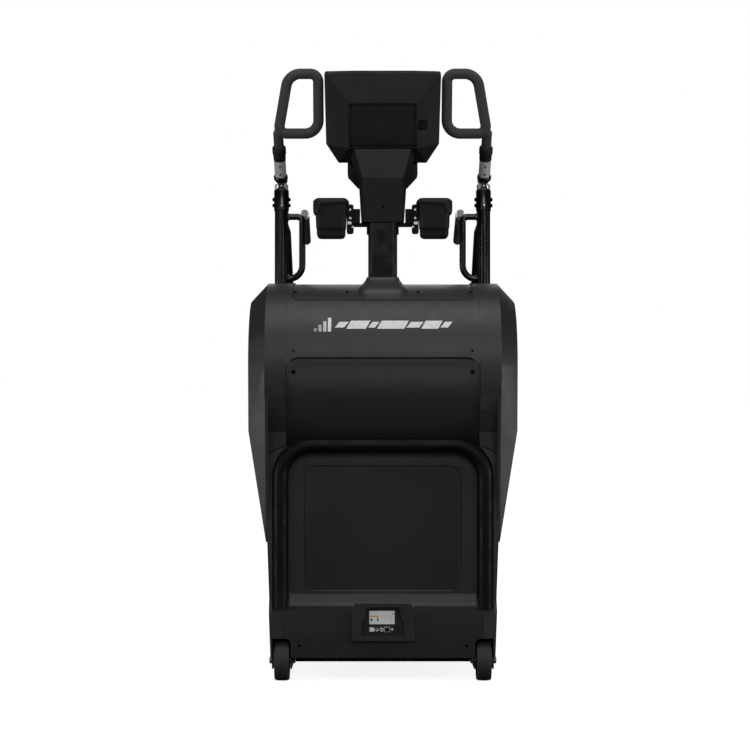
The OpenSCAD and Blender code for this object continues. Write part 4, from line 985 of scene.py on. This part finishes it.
def makeVent():
    look = consoleLook
    depth = look["backDepth"]
    centre = Matrix.Translation((0, look["backMid"], 0))
    plate = bmesh.new()
    addSlab(
        plate, roundedOutline(0.199, 0.127, 0.006), depth - 0.0026, depth + 0.0006, consoleSpace @ centre
    )
    finishPiece(
        plate, "consoleBackPlate", consolePlastic, "machine", bevel=0.8 * mm, segments=2
    )
    ribs = bmesh.new()
    pitch = look["ribPitch"]
    across, up = int(0.196 / pitch), int(0.124 / pitch)
    for k in (-1, 1):
        for i in range(across + 1):
            x = -0.098 + 0.196 * i / across
            addBlock(
                ribs, (x - 0.0016, min(k * 0.0634, k * 0.0732), depth - 0.0024),
                (x + 0.0016, max(k * 0.0634, k * 0.0732), depth + 0.0002), consoleSpace @ centre
            )
        for i in range(up + 1):
            y = -0.062 + 0.124 * i / up
            addBlock(
                ribs, (min(k * 0.0994, k * 0.1092), y - 0.0016, depth - 0.0024),
                (max(k * 0.0994, k * 0.1092), y + 0.0016, depth + 0.0002), consoleSpace @ centre
            )
    # the ribs take a lighter plastic than the console around them: painted highlight on the ribs against
    # the dark openings
    finishPiece(ribs, "consoleVentRibs", lowPlastic, "machine", recalc=False)
    # near-black sheet under the ribs: painted shade in the vent openings
    floor = bmesh.new()
    addSlab(
        floor, roundedOutline(0.2178, 0.1458, 0.009), depth - 0.0027, depth - 0.0023,
        consoleSpace @ centre
    )
    finishPiece(floor, "consoleVentShade", screwAndShadeBlack, "machine")
    flap = bmesh.new()
    addSlab(
        flap, roundedOutline(0.0288, 0.0308, 0.0055), 0.010, 0.0225,
        consoleSpace @ Matrix.Translation((0.132, -0.013, 0))
    )
    finishPiece(flap, "consolePortFlap", consolePlastic, "machine", bevel=0.8 * mm)

def makeScreen():
    space = consoleSpace @ Matrix.Translation((0, 0.016, 0))
    glass = bmesh.new()
    addSlab(glass, roundedOutline(0.349, 0.203, 0.004), -0.0395, -0.0365, space)
    finishPiece(
        glass, "displayGlass", screenGlass, "machine", ["display_glass"], bevel=0.5 * mm,
        segments=2
    )
    frameRing = loft(
        [
            [(x, y, -0.0402) for x, y in roundedOutline(0.349, 0.203, 0.004)],
            [(x, y, -0.0412) for x, y in roundedOutline(0.350, 0.204, 0.0045)],
            [(x, y, -0.0412) for x, y in roundedOutline(0.356, 0.210, 0.007)],
            [(x, y, -0.0395) for x, y in roundedOutline(0.358, 0.212, 0.008)]
        ],
        False, False
    )
    rim = bmesh.new()
    joinInto(rim, frameRing, space)
    finishPiece(rim, "displayRim", darkPlastic, "machine", recalc=False)

makeVent()
makeScreen()

def keyProfile(radius, low, high, crown):
    return [
        (0, low), (radius - 0.0006, low), (radius, low + 0.0006), (radius, high - 0.0016),
        (radius - 0.0005, high - 0.0005), (radius - 0.0016, high), (radius * 0.6, high + crown),
        (0, high + crown * 1.2)
    ]

keyMid = Vector((0, (-0.384 - 0.328) / 2, (1.702 + 1.662) / 2))
keyTilt = math.atan2(40, 56)
keyNormal = Vector((0, math.sin(keyTilt), math.cos(keyTilt)))
for name, x in (("level_down_key", -0.060), ("start_key", 0.0), ("level_up_key", 0.060)):
    bm = bmesh.new()
    space = place(keyMid + Vector((x, 0, 0)), keyNormal, (1, 0, 0))
    addTurned(bm, keyProfile(0.0145, -0.008, 0.0028, -0.0004), 48, space)
    addTurned(bm, [(0, -0.011), (0.0105, -0.011), (0.0105, -0.007), (0, -0.007)], 32, space)
    # bars that make minus and plus
    marks = {"level_down_key": [0.0], "start_key": [], "level_up_key": [0.0, math.pi / 2]}[name]
    for turn in marks:
        bar = slab(roundedOutline(0.0110, 0.0022, 0.0010, 3), 0.0020, 0.0030)
        joinInto(bm, bar, space @ Matrix.Rotation(turn, 4, "Z"))
    if name == "start_key":
        joinInto(
            bm,
            loft(
                [
                    [(0.0052 * math.cos(a), 0.0052 * math.sin(a), z) for a in (0, 2.0944, 4.18879)]
                    for z in (0.0020, 0.0030)
                ]
            ),
            space
        )
    title = {"level_down_key": "levelDownKey", "start_key": "startKey", "level_up_key": "levelUpKey"}[name]
    finishPiece(bm, title, greyPlastic, name, [name], recalc=False)

stop = bmesh.new()
turnedOver = Matrix.Rotation(math.pi, 4, "X")
stopSpace = consoleSpace @ Matrix.Translation((0, 0.026 - 0.151, -0.040)) @ turnedOver
addTurned(
    stop,
    [
        (0, -0.013), (0.0090, -0.013), (0.0090, 0.0050), (0.0158, 0.0052), (0.0170, 0.0064),
        (0.0170, 0.0120), (0.0160, 0.0150), (0.0130, 0.0165), (0.0070, 0.0170), (0, 0.0170)
    ],
    56, stopSpace
)
finishPiece(stop, "stopButton", redPlastic, "stop_button", ["stop_button"], recalc=False)
print("console made")

# Cup holders

cup = {"x": 0.169, "y": -0.500, "low": 1.426, "high": 1.556}
def makeCup(side, s):
    c = cup
    def ring(width, depth, radius, z, hang):
        points = roundedOutline(width, depth, radius, 7)
        return [(s * c["x"] + x, c["y"] + y, z - hang * smooth((s * x - 0.030) / 0.014)) for x, y in points]
    low, high = c["low"], c["high"]
    # width, depth, corner, height and how far the outer side's skirt hangs below that height
    outer = [
        (0.070, 0.060, 0.008, low, 0), (0.082, 0.072, 0.012, low + 0.002, 0),
        (0.0895, 0.0795, 0.015, low + 0.0065, 0), (0.0930, 0.0835, 0.017, low + 0.013, 0),
        (0.0940, 0.0865, 0.018, low + 0.029, 0),
        (0.0965, 0.0925, 0.018, low + 0.0325, 0), (0.0975, 0.0940, 0.018, low + 0.035, 0),
        (0.1030, 0.1000, 0.020, high - 0.0225, 0), (0.1035, 0.1005, 0.020, high - 0.0185, 0),
        (0.1120, 0.1085, 0.022, high - 0.0175, 0.033), (0.1155, 0.1120, 0.024, high - 0.0155, 0.031),
        (0.1175, 0.1135, 0.025, high - 0.0130, 0.020), (0.1170, 0.1130, 0.025, high - 0.0105, 0),
        (0.1120, 0.1080, 0.023, high - 0.0070, 0), (0.1000, 0.0960, 0.019, high - 0.0015, 0),
        (0.0940, 0.0900, 0.017, high, 0), (0.0895, 0.0855, 0.015, high - 0.0010, 0),
        (0.0880, 0.0840, 0.014, high - 0.0050, 0), (0.0870, 0.0830, 0.014, low + 0.035, 0),
        (0.0800, 0.0700, 0.012, low + 0.010, 0),
        (0.0700, 0.0600, 0.010, low + 0.004, 0)
    ]
    bm = loft([ring(*o) for o in outer])
    finishPiece(
        bm, side + "CupHolder", consolePlastic, "machine", [side + "_cup_holder"],
        smooth=40
    )

def makeCupBracket(side, s):
    c = cup
    bm = bmesh.new()
    wall = c["x"] - 0.0525
    def span(a, b):
        return (min(s * a, s * b), max(s * a, s * b))
    for near, far, reach, low, high in (
        (0.0475, 0.0980, 0.008, 1.4640, 1.4770), (0.0740, 0.0980, 0.008, 1.4700, 1.5230),
        (0.0475, 0.0525, 0.026, 1.4400, 1.4775), (wall - 0.0045, wall, 0.020, 1.4680, 1.5300),
    ):
        x0, x1 = span(near, far)
        addBlock(bm, (x0, c["y"] - reach, low), (x1, c["y"] + reach, high))
    # plate that faces forward between the arm and the cup
    plate = slab(roundedOutline(0.0230, 0.0980, 0.0080, 6), 0, 0.0035)
    joinInto(bm, plate, place((s * 0.1065, c["y"] - 0.0160, 1.4880), (0, -1, 0), (1, 0, 0)))
    finishPiece(
        bm, side + "CupBracket", hoopPaint, "machine",
        ["cup_holder_brackets"] if side == "left" else [], bevel=0.8 * mm, segments=2
    )
    bolts = bmesh.new()
    for z in (1.4912, 1.5188):
        addTurned(
            bolts,
            [
                (0, 0.0038), (0.0030, 0.0038), (0.0040, 0.0030), (0.0044, 0.0018), (0.0044, -0.002),
                (0, -0.002)
            ],
            20, place((s * 0.1065, c["y"] - 0.0195, z), (0, -1, 0))
        )
    clip = slab(roundedOutline(0.0130, 0.0095, 0.0022, 4), 0, 0.0040)
    joinInto(bolts, clip, place((s * 0.1085, c["y"] - 0.0190, 1.4755), (0, -1, 0), (1, 0, 0)))
    foot = slab(roundedOutline(0.0070, 0.0060, 0.0018, 4), 0, 0.0030)
    joinInto(bolts, foot, place((s * 0.0985, c["y"] - 0.0190, 1.4625), (0, -1, 0), (1, 0, 0)))
    finishPiece(
        bolts, side + "CupBolts", brightMetal, "machine", bevel=0.4 * mm, segments=2
    )

for side, s in sides.items():
    makeCup(side, s)
    makeCupBracket(side, s)
print("cup holders made")

# Wheels

wheel = {"x": 0.3225, "y": -0.655, "z": 0.065, "width": 0.048, "radius": 0.065}
def makeWheel(side, s):
    w = wheel
    half, outer = w["width"] / 2, w["radius"]
    space = place((s * w["x"], w["y"], w["z"]), (1, 0, 0))
    tyre = [
        (0.0525, -half + 0.0035), (0.0540, -half + 0.001), (0.0600, -half + 0.0005),
        (outer - 0.0030, -half + 0.0022), (outer - 0.0008, -half + 0.0060), (outer, -0.008),
        (outer, 0.008), (outer - 0.0008, half - 0.0060), (outer - 0.0030, half - 0.0022),
        (0.0600, half - 0.0005), (0.0540, half - 0.001), (0.0525, half - 0.0035)
    ]
    bm = bmesh.new()
    addTurned(bm, tyre, 96, space)
    finishPiece(
        bm, side + "WheelTyre", wheelRubber, side + "_wheel", [side + "_wheel"],
        recalc=False
    )
    hub = [
        (0.00805, -half), (0.0165, -half), (0.0180, -half + 0.0012), (0.0195, -half + 0.0058),
        (0.0490, -half + 0.0058), (0.0515, -half + 0.0030), (0.0530, -half + 0.0025),
        (0.0530, half - 0.0025), (0.0515, half - 0.0030), (0.0490, half - 0.0058),
        (0.0195, half - 0.0058), (0.0180, half - 0.0012), (0.0165, half), (0.00805, half),
        (0.00805, -half)
    ]
    bm = bmesh.new()
    addTurned(bm, hub, 72, space)
    for k in range(5):
        for face in (-1, 1):
            rib = block(
                (0.0185, -0.0016, min(face * (half - 0.0062), face * (half - 0.0030))),
                (0.0505, 0.0016, max(face * (half - 0.0062), face * (half - 0.0030)))
            )
            joinInto(bm, rib, space @ Matrix.Rotation(2 * math.pi * k / 5, 4, "Z"))
    finishPiece(bm, side + "WheelHub", darkPlastic, side + "_wheel", recalc=False)

def makeWheelBolt(side, s):
    w = wheel
    reach = w["width"] / 2 + 0.003 + 0.005
    bm = bmesh.new()
    outer = place((s * (w["x"] + reach), w["y"], w["z"]), (s, 0, 0))
    inner = place((s * (w["x"] - reach), w["y"], w["z"]), (-s, 0, 0))
    addTurned(
        bm,
        [
            (0, 0.0090), (0.0090, 0.0090), (0.0112, 0.0078), (0.0118, 0.0060), (0.0118, 0.0014),
            (0, 0.0014)
        ],
        6, outer
    )
    addTurned(bm, [(0, 0.0015), (0.0125, 0.0015), (0.0128, 0.0010), (0.0128, 0), (0, 0)], 32, outer)
    addTurned(bm, [(0.0078, -2 * reach), (0.0078, -0.0005)], 32, outer)
    addTurned(
        bm,
        [
            (0.0078, 0.0010), (0.0100, 0.0010), (0.0118, 0.0022), (0.0118, 0.0085), (0.0098, 0.0100),
            (0.0078, 0.0100)
        ],
        6, inner
    )
    addTurned(
        bm, [(0, 0.0115), (0.0062, 0.0115), (0.0076, 0.0100), (0.0076, -0.002), (0, -0.002)], 28, inner
    )
    finishPiece(
        bm, side + "WheelBolt", steelMetal, "machine",
        ["wheel_axle_bolts"] if side == "left" else [], recalc=False
    )

for side, s in sides.items():
    makeWheel(side, s)
    makeWheelBolt(side, s)
print("wheels made")

# Inlet panel, screws and emblem

inlet = {"y": -0.718, "recess": 0.012, "portZ": 0.169}
def makeSockets():
    y = inlet["y"] + inlet["recess"]
    z = inlet["portZ"]
    out = (0, -1, 0)
    plate = bmesh.new()
    addSlab(
        plate, roundedOutline(0.081, 0.0425, 0.002, 4), 0, 0.0012,
        place((-0.003, y, 0.2075), out, (1, 0, 0))
    )
    finishPiece(plate, "ratingPlate", platePlastic, "machine", bevel=0.3 * mm, segments=2)
    lines = bmesh.new()
    for i in range(6):
        addBlock(
            lines, (-0.0085, y - 0.00135, 0.2020 + i * 0.0028), (0.0120, y - 0.00115, 0.2026 + i * 0.0028)
        )
        addBlock(
            lines, (0.0150, y - 0.00135, 0.2020 + i * 0.0028), (0.0290, y - 0.00115, 0.2026 + i * 0.0028)
        )
    addBlock(lines, (-0.0410, y - 0.00135, 0.1945), (0.0350, y - 0.00115, 0.1950))
    finishPiece(lines, "ratingPlateLines", greyPlastic, "machine", recalc=False)
    stripe = bmesh.new()
    addBlock(stripe, (-0.0405, y - 0.0014, 0.2090), (-0.0145, y - 0.00115, 0.2135))
    finishPiece(stripe, "ratingPlateStripe", amberPlastic, "machine", recalc=False)
    patch = bmesh.new()
    addBlock(patch, (-0.0400, y - 0.0014, 0.1975), (-0.0330, y - 0.00115, 0.2040))
    addBlock(patch, (-0.0185, y - 0.0014, 0.1965), (-0.0145, y - 0.00115, 0.2075))
    addTurned(
        patch, [(0, 0.0003), (0.0018, 0.0003), (0.0018, 0), (0, 0)], 16,
        place((0.0325, y - 0.00115, 0.2190), out)
    )
    finishPiece(patch, "ratingPlatePatch", darkPlastic, "machine", recalc=False)
    jack = bmesh.new()
    addSlab(
        jack, roundedOutline(0.0155, 0.0125, 0.0008, 3), -0.010, 0.0016,
        place((-0.035, y, z), out, (1, 0, 0))
    )
    finishPiece(jack, "networkSocket", platePlastic, "machine", bevel=0.4 * mm, segments=2)
    ring = bmesh.new()
    addTurned(
        ring,
        [
            (0.0026, -0.008), (0.0026, 0.0012), (0.0048, 0.0016), (0.0050, 0.0010), (0.0050, -0.010),
            (0.0026, -0.010)
        ],
        32, place((-0.019, y, z), out)
    )
    addTurned(
        ring,
        [
            (0.0032, -0.008), (0.0032, 0.0060), (0.0038, 0.0066), (0.0048, 0.0066), (0.0050, 0.0060),
            (0.0050, 0.0020), (0.0062, 0.0018), (0.0063, 0.0010), (0.0063, -0.010), (0.0032, -0.010)
        ],
        40, place((-0.004, y, z), out)
    )
    addTurned(
        ring, [(0, 0.0048), (0.0006, 0.0045), (0.0006, -0.008), (0, -0.008)], 12,
        place((-0.004, y, z), out)
    )
    addTurned(
        ring, [(0, 0.0016), (0.0030, 0.0014), (0.0041, 0.0006), (0.0042, -0.010), (0, -0.010)], 28,
        place((0.030, y, z), out)
    )
    finishPiece(ring, "roundSockets", brightMetal, "machine", recalc=False)
    surround = bmesh.new()
    rings = [
        (0.0162, 0.0142, -0.004), (0.0162, 0.0142, 0.0012), (0.0178, 0.0158, 0.0016),
        (0.0186, 0.0166, 0.0010), (0.0186, 0.0166, 0.0)
    ]
    loops = [[(u, v, h) for u, v in roundedOutline(w, d, 0.001, 3)] for w, d, h in rings]
    joinInto(surround, loft(loops, False, False), place((0.0135, y, z), out, (1, 0, 0)))
    finishPiece(surround, "switchSurround", platePlastic, "machine", recalc=False)

def makeSwitch():
    space = place((0.0135, -0.709, 0.169), (0, -1, 0), (1, 0, 0))
    bm = bmesh.new()
    addSlab(bm, roundedOutline(0.0158, 0.0138, 0.0012, 4), -0.0110, 0.0, space)
    finishPiece(
        bm, "powerSwitch", darkPlastic, "power_switch", ["power_switch"], bevel=0.8 * mm
    )

makeSockets()
makeSwitch()

def screw(radius):
    bm = lathe(
        [
            (0.45 * radius, -0.0012), (0.45 * radius, 0.0002), (0.62 * radius, 0.0006),
            (0.9 * radius, 0.0004), (radius, -0.0004), (radius, -0.003), (0, -0.003)
        ],
        20
    )
    addTurned(bm, [(0.45 * radius, -0.0012), (0, -0.0012)], 6)
    return bm

def makeScrews():
    bm = bmesh.new()
    for s in (-1, 1):
        for x in (0.283, 0.115):
            at, n = onDrum(s * x, 1.2490)
            joinInto(bm, screw(0.0056), place(at - n * 0.0022, n))
        at, n = onDrum(s * 0.283, 1.056)
        joinInto(bm, screw(0.0056), place(at - n * 0.001, n))
        at, n = onDrum(s * 0.283, 0.988, -drum["stepBack"])
        joinInto(bm, screw(0.0056), place(at - n * 0.001, n))
        joinInto(bm, screw(0.0044), place((s * 0.266, -0.7062, 0.118), (0, -1, 0)))
        joinInto(bm, screw(0.0036), place((s * 0.253, -0.6446, 0.684), (0, -1, 0)))
        joinInto(bm, screw(0.0040), place((0.0, -0.5585, 1.526), (0, -1, 0)))
    # the cover screws take the near-black, glossless material: painted shade in the screw holes
    finishPiece(bm, "coverScrews", screwAndShadeBlack, "machine", ["cover_screws"], recalc=False)
makeScrews()

emblem = {
    "z": 1.138, "thick": 0.0007, "iconX": -0.220, "bars": 4, "barWidth": 0.0105, "barGap": 0.0045,
    "rise": 0.0115, "stripFrom": -0.146, "stripHeight": 0.026, "slant": 0.0075, "stripGap": 0.007,
    "blocks": (0.030, 0.062, 0.022, 0.086, 0.040, 0.054, 0.024)
}
def makeEmblem():
    # ascending steps and a row of plain slanted bars, laid on the drum's curve
    def laid(outline):
        return loft([[tuple(onDrum(x, z, h)[0]) for x, z in outline] for h in (-0.0002, emblem["thick"])])
    bm = bmesh.new()
    for i in range(emblem["bars"]):
        x = emblem["iconX"] + i * (emblem["barWidth"] + emblem["barGap"])
        low, high = emblem["z"] - 0.022, emblem["z"] - 0.012 + i * emblem["rise"]
        mid = (low + high) / 2
        joinInto(
            bm,
            laid(
                [
                    (x, low), (x + emblem["barWidth"], low), (x + emblem["barWidth"], mid),
                    (x + emblem["barWidth"], high), (x, high), (x, mid)
                ]
            )
        )
    x = emblem["stripFrom"]
    for i, length in enumerate(emblem["blocks"]):
        half = emblem["stripHeight"] / 2 * (1.0 if i % 2 else 0.72)
        lean = emblem["slant"]
        z = emblem["z"]
        joinInto(
            bm,
            laid(
                [
                    (x - lean, z - half), (x + length - lean, z - half), (x + length, z),
                    (x + length + lean, z + half), (x + lean, z + half), (x, z)
                ]
            )
        )
        x += length + emblem["stripGap"]
    finishPiece(bm, "frontEmblem", foilMetal, "machine")
makeEmblem()
print("small parts made")

# Steps

stepLook = {"width": 0.540, "top": 0.030, "ribs": 21, "matBack": -0.110}
rise, run = 0.2032, 0.254
pitch = math.hypot(rise, run)
wrap = pitch / math.pi
upDir = Vector((0, -run / pitch, rise / pitch))
outDir = Vector((0, rise / pitch, run / pitch))
upperShaft = Vector((0, -0.470, 0.950))
lowerShaft = upperShaft - upDir * 3 * pitch

def stepSpace(i):
    if i <= 4:
        return Matrix.Translation(lowerShaft + upDir * (i - 1) * pitch + outDir * wrap)
    return Matrix.Translation(lowerShaft + upDir * (i - 5) * pitch - outDir * wrap) @ turnedOver

def makeStepMat(i):
    # ribbed rubber mat on the tread and the pale line along its nose
    half = stepLook["width"] / 2 - 0.012
    top = stepLook["top"]
    mat = bmesh.new()
    addSlab(
        mat, [(-half, stepLook["matBack"]), (half, stepLook["matBack"]), (half, 0.104), (-half, 0.104)],
        top - 0.0005, top + 0.0012, stepSpace(i)
    )
    count = stepLook["ribs"]
    for k in range(count):
        y = stepLook["matBack"] + 0.005 + (0.099 - stepLook["matBack"] - 0.005) * k / (count - 1)
        joinInto(
            mat,
            loft(
                [
                    [
                        (-half + 0.004, y - 0.0028, top + 0.0008),
                        (half - 0.004, y - 0.0028, top + 0.0008),
                        (half - 0.004, y + 0.0028, top + 0.0008),
                        (-half + 0.004, y + 0.0028, top + 0.0008)
                    ],
                    [
                        (-half + 0.005, y - 0.0018, top + 0.0028),
                        (half - 0.005, y - 0.0018, top + 0.0028),
                        (half - 0.005, y + 0.0018, top + 0.0028),
                        (-half + 0.005, y + 0.0018, top + 0.0028)
                    ]
                ]
            ),
            stepSpace(i)
        )
    finishPiece(mat, "stepMat" + str(i), wheelRubber, "step_" + str(i), recalc=False)
    nose = bmesh.new()
    addSlab(
        nose, roundedOutline(2 * half, 0.011, 0.002, 3), top - 0.0005, top + 0.0014,
        stepSpace(i) @ Matrix.Translation((0, 0.1135, 0))
    )
    finishPiece(nose, "stepNose" + str(i), greyPlastic, "step_" + str(i), recalc=False)

for i in range(1, 9):
    softCopy("step_" + str(i), stepPaint, 1.2 * mm, 2)
    makeStepMat(i)

def makeEntryMat():
    bm = bmesh.new()
    addSlab(bm, roundedOutline(0.690, 0.070, 0.008), 0.2495, 0.2512, Matrix.Translation((0, 0.690, 0)))
    for k in range(7):
        y = 0.662 + k * 0.0093
        addBlock(bm, (-0.335, y - 0.0022, 0.2508), (0.335, y + 0.0022, 0.2528))
    finishPiece(bm, "entryMat", wheelRubber, "machine", bevel=0.6 * mm, segments=2)
makeEntryMat()
print("steps made")

# Studio

floorLook = {"colour": (0.8, 0.8, 0.8), "glow": 0.86, "reach": 3.2, "size": 60.0}
bm = bmesh.new()
bmesh.ops.create_grid(bm, x_segments=1, y_segments=1, size=floorLook["size"])
mesh = bpy.data.meshes.new("studioFloor")
bm.to_mesh(mesh)
bm.free()
floorObj = bpy.data.objects.new("studioFloor", mesh)
scene.collection.objects.link(floorObj)
floorMaterial, tree, shader = newMaterial("paleFloor")
tint = mixColour(tree, noise(tree, 2.0), floorLook["colour"], tuple(c * 1.01 for c in floorLook["colour"]))
tree.links.new(tint, shader.inputs["Base Color"])
shader.inputs["Roughness"].default_value = 0.9
shader.inputs["Specular IOR Level"].default_value = 0.0
shader.inputs["Emission Color"].default_value = (1, 1, 1, 1)
# the glow fades only around the machine
reach = node(tree, "ShaderNodeTexGradient", gradient_type="SPHERICAL")
spread = node(tree, "ShaderNodeMapping", Scale=(1 / floorLook["reach"],) * 3)
tree.links.new(node(tree, "ShaderNodeTexCoord").outputs["Object"], spread.inputs["Vector"])
tree.links.new(spread.outputs["Vector"], reach.inputs["Vector"])
tree.links.new(
    remap(tree, reach.outputs["Fac"], 1.0, floorLook["glow"], 0.0, 0.6),
    shader.inputs["Emission Strength"]
)
mesh.materials.append(floorMaterial)
floorObj.visible_glossy = False   # the glow stays out of the gloss and off the covers
floorObj.visible_diffuse = False

def softbox(name, at, target, size, power):
    data = bpy.data.lights.new(name, "AREA")
    data.shape, data.size, data.size_y, data.energy = "RECTANGLE", size[0], size[1], power
    obj = bpy.data.objects.new(name, data)
    scene.collection.objects.link(obj)
    obj.location = at
    obj.rotation_euler = (Vector(target) - Vector(at)).to_track_quat("-Z", "Y").to_euler()
    return obj

lights = {"room": 0.03, "top": 56.0, "front": 72.0, "side": 34.0, "strip": 9.0, "rear": 40.0}
softbox("topSoftbox", (0, -1.6, 4.4), (0, -0.5, 1.2), (3.0, 2.2), lights["top"])
softbox("frontSoftbox", (0.6, -6.6, 3.6), (0, -0.6, 1.2), (3.0, 1.6), lights["front"])
for s in (-1, 1):
    name = ("left", "right")[s > 0]
    softbox(name + "Softbox", (s * 3.4, -1.5, 0.55), (0, -0.3, 0.5), (0.7, 1.6), lights["side"])
    softbox(name + "Strip", (s * 1.9, -4.0, 1.5), (0, -0.4, 1.5), (0.12, 2.4), lights["strip"])
softbox("rearSoftbox", (0.4, 4.2, 3.4), (0, 0.2, 0.9), (3.0, 2.0), lights["rear"])

world = bpy.data.worlds.new("studio")
scene.world = world
world.use_nodes = True
tree = world.node_tree
white = tree.nodes["Background"]
white.inputs["Color"].default_value = (1, 1, 1, 1)
room = tree.nodes.new("ShaderNodeBackground")   # what lights and reflects: a dim room
room.inputs["Color"].default_value = (1, 1, 1, 1)
room.inputs["Strength"].default_value = lights["room"]
path = tree.nodes.new("ShaderNodeLightPath")
choose = tree.nodes.new("ShaderNodeMixShader")
tree.links.new(path.outputs["Is Camera Ray"], choose.inputs[0])
tree.links.new(room.outputs[0], choose.inputs[1])
tree.links.new(white.outputs[0], choose.inputs[2])
tree.links.new(choose.outputs[0], tree.nodes["World Output"].inputs["Surface"])
scene.view_settings.view_transform = "Standard"

view = {"x": -0.0252, "y": -7.0, "z": 0.9783, "focal": 95.04}
cameraData = bpy.data.cameras.new("camera")
cameraData.lens, cameraData.sensor_width = view["focal"], 36
camera = bpy.data.objects.new("camera", cameraData)
camera.location = (view["x"], view["y"], view["z"])
camera.rotation_euler = (math.radians(90), 0, 0)
scene.collection.objects.link(camera)
scene.camera = camera
print("studio set")
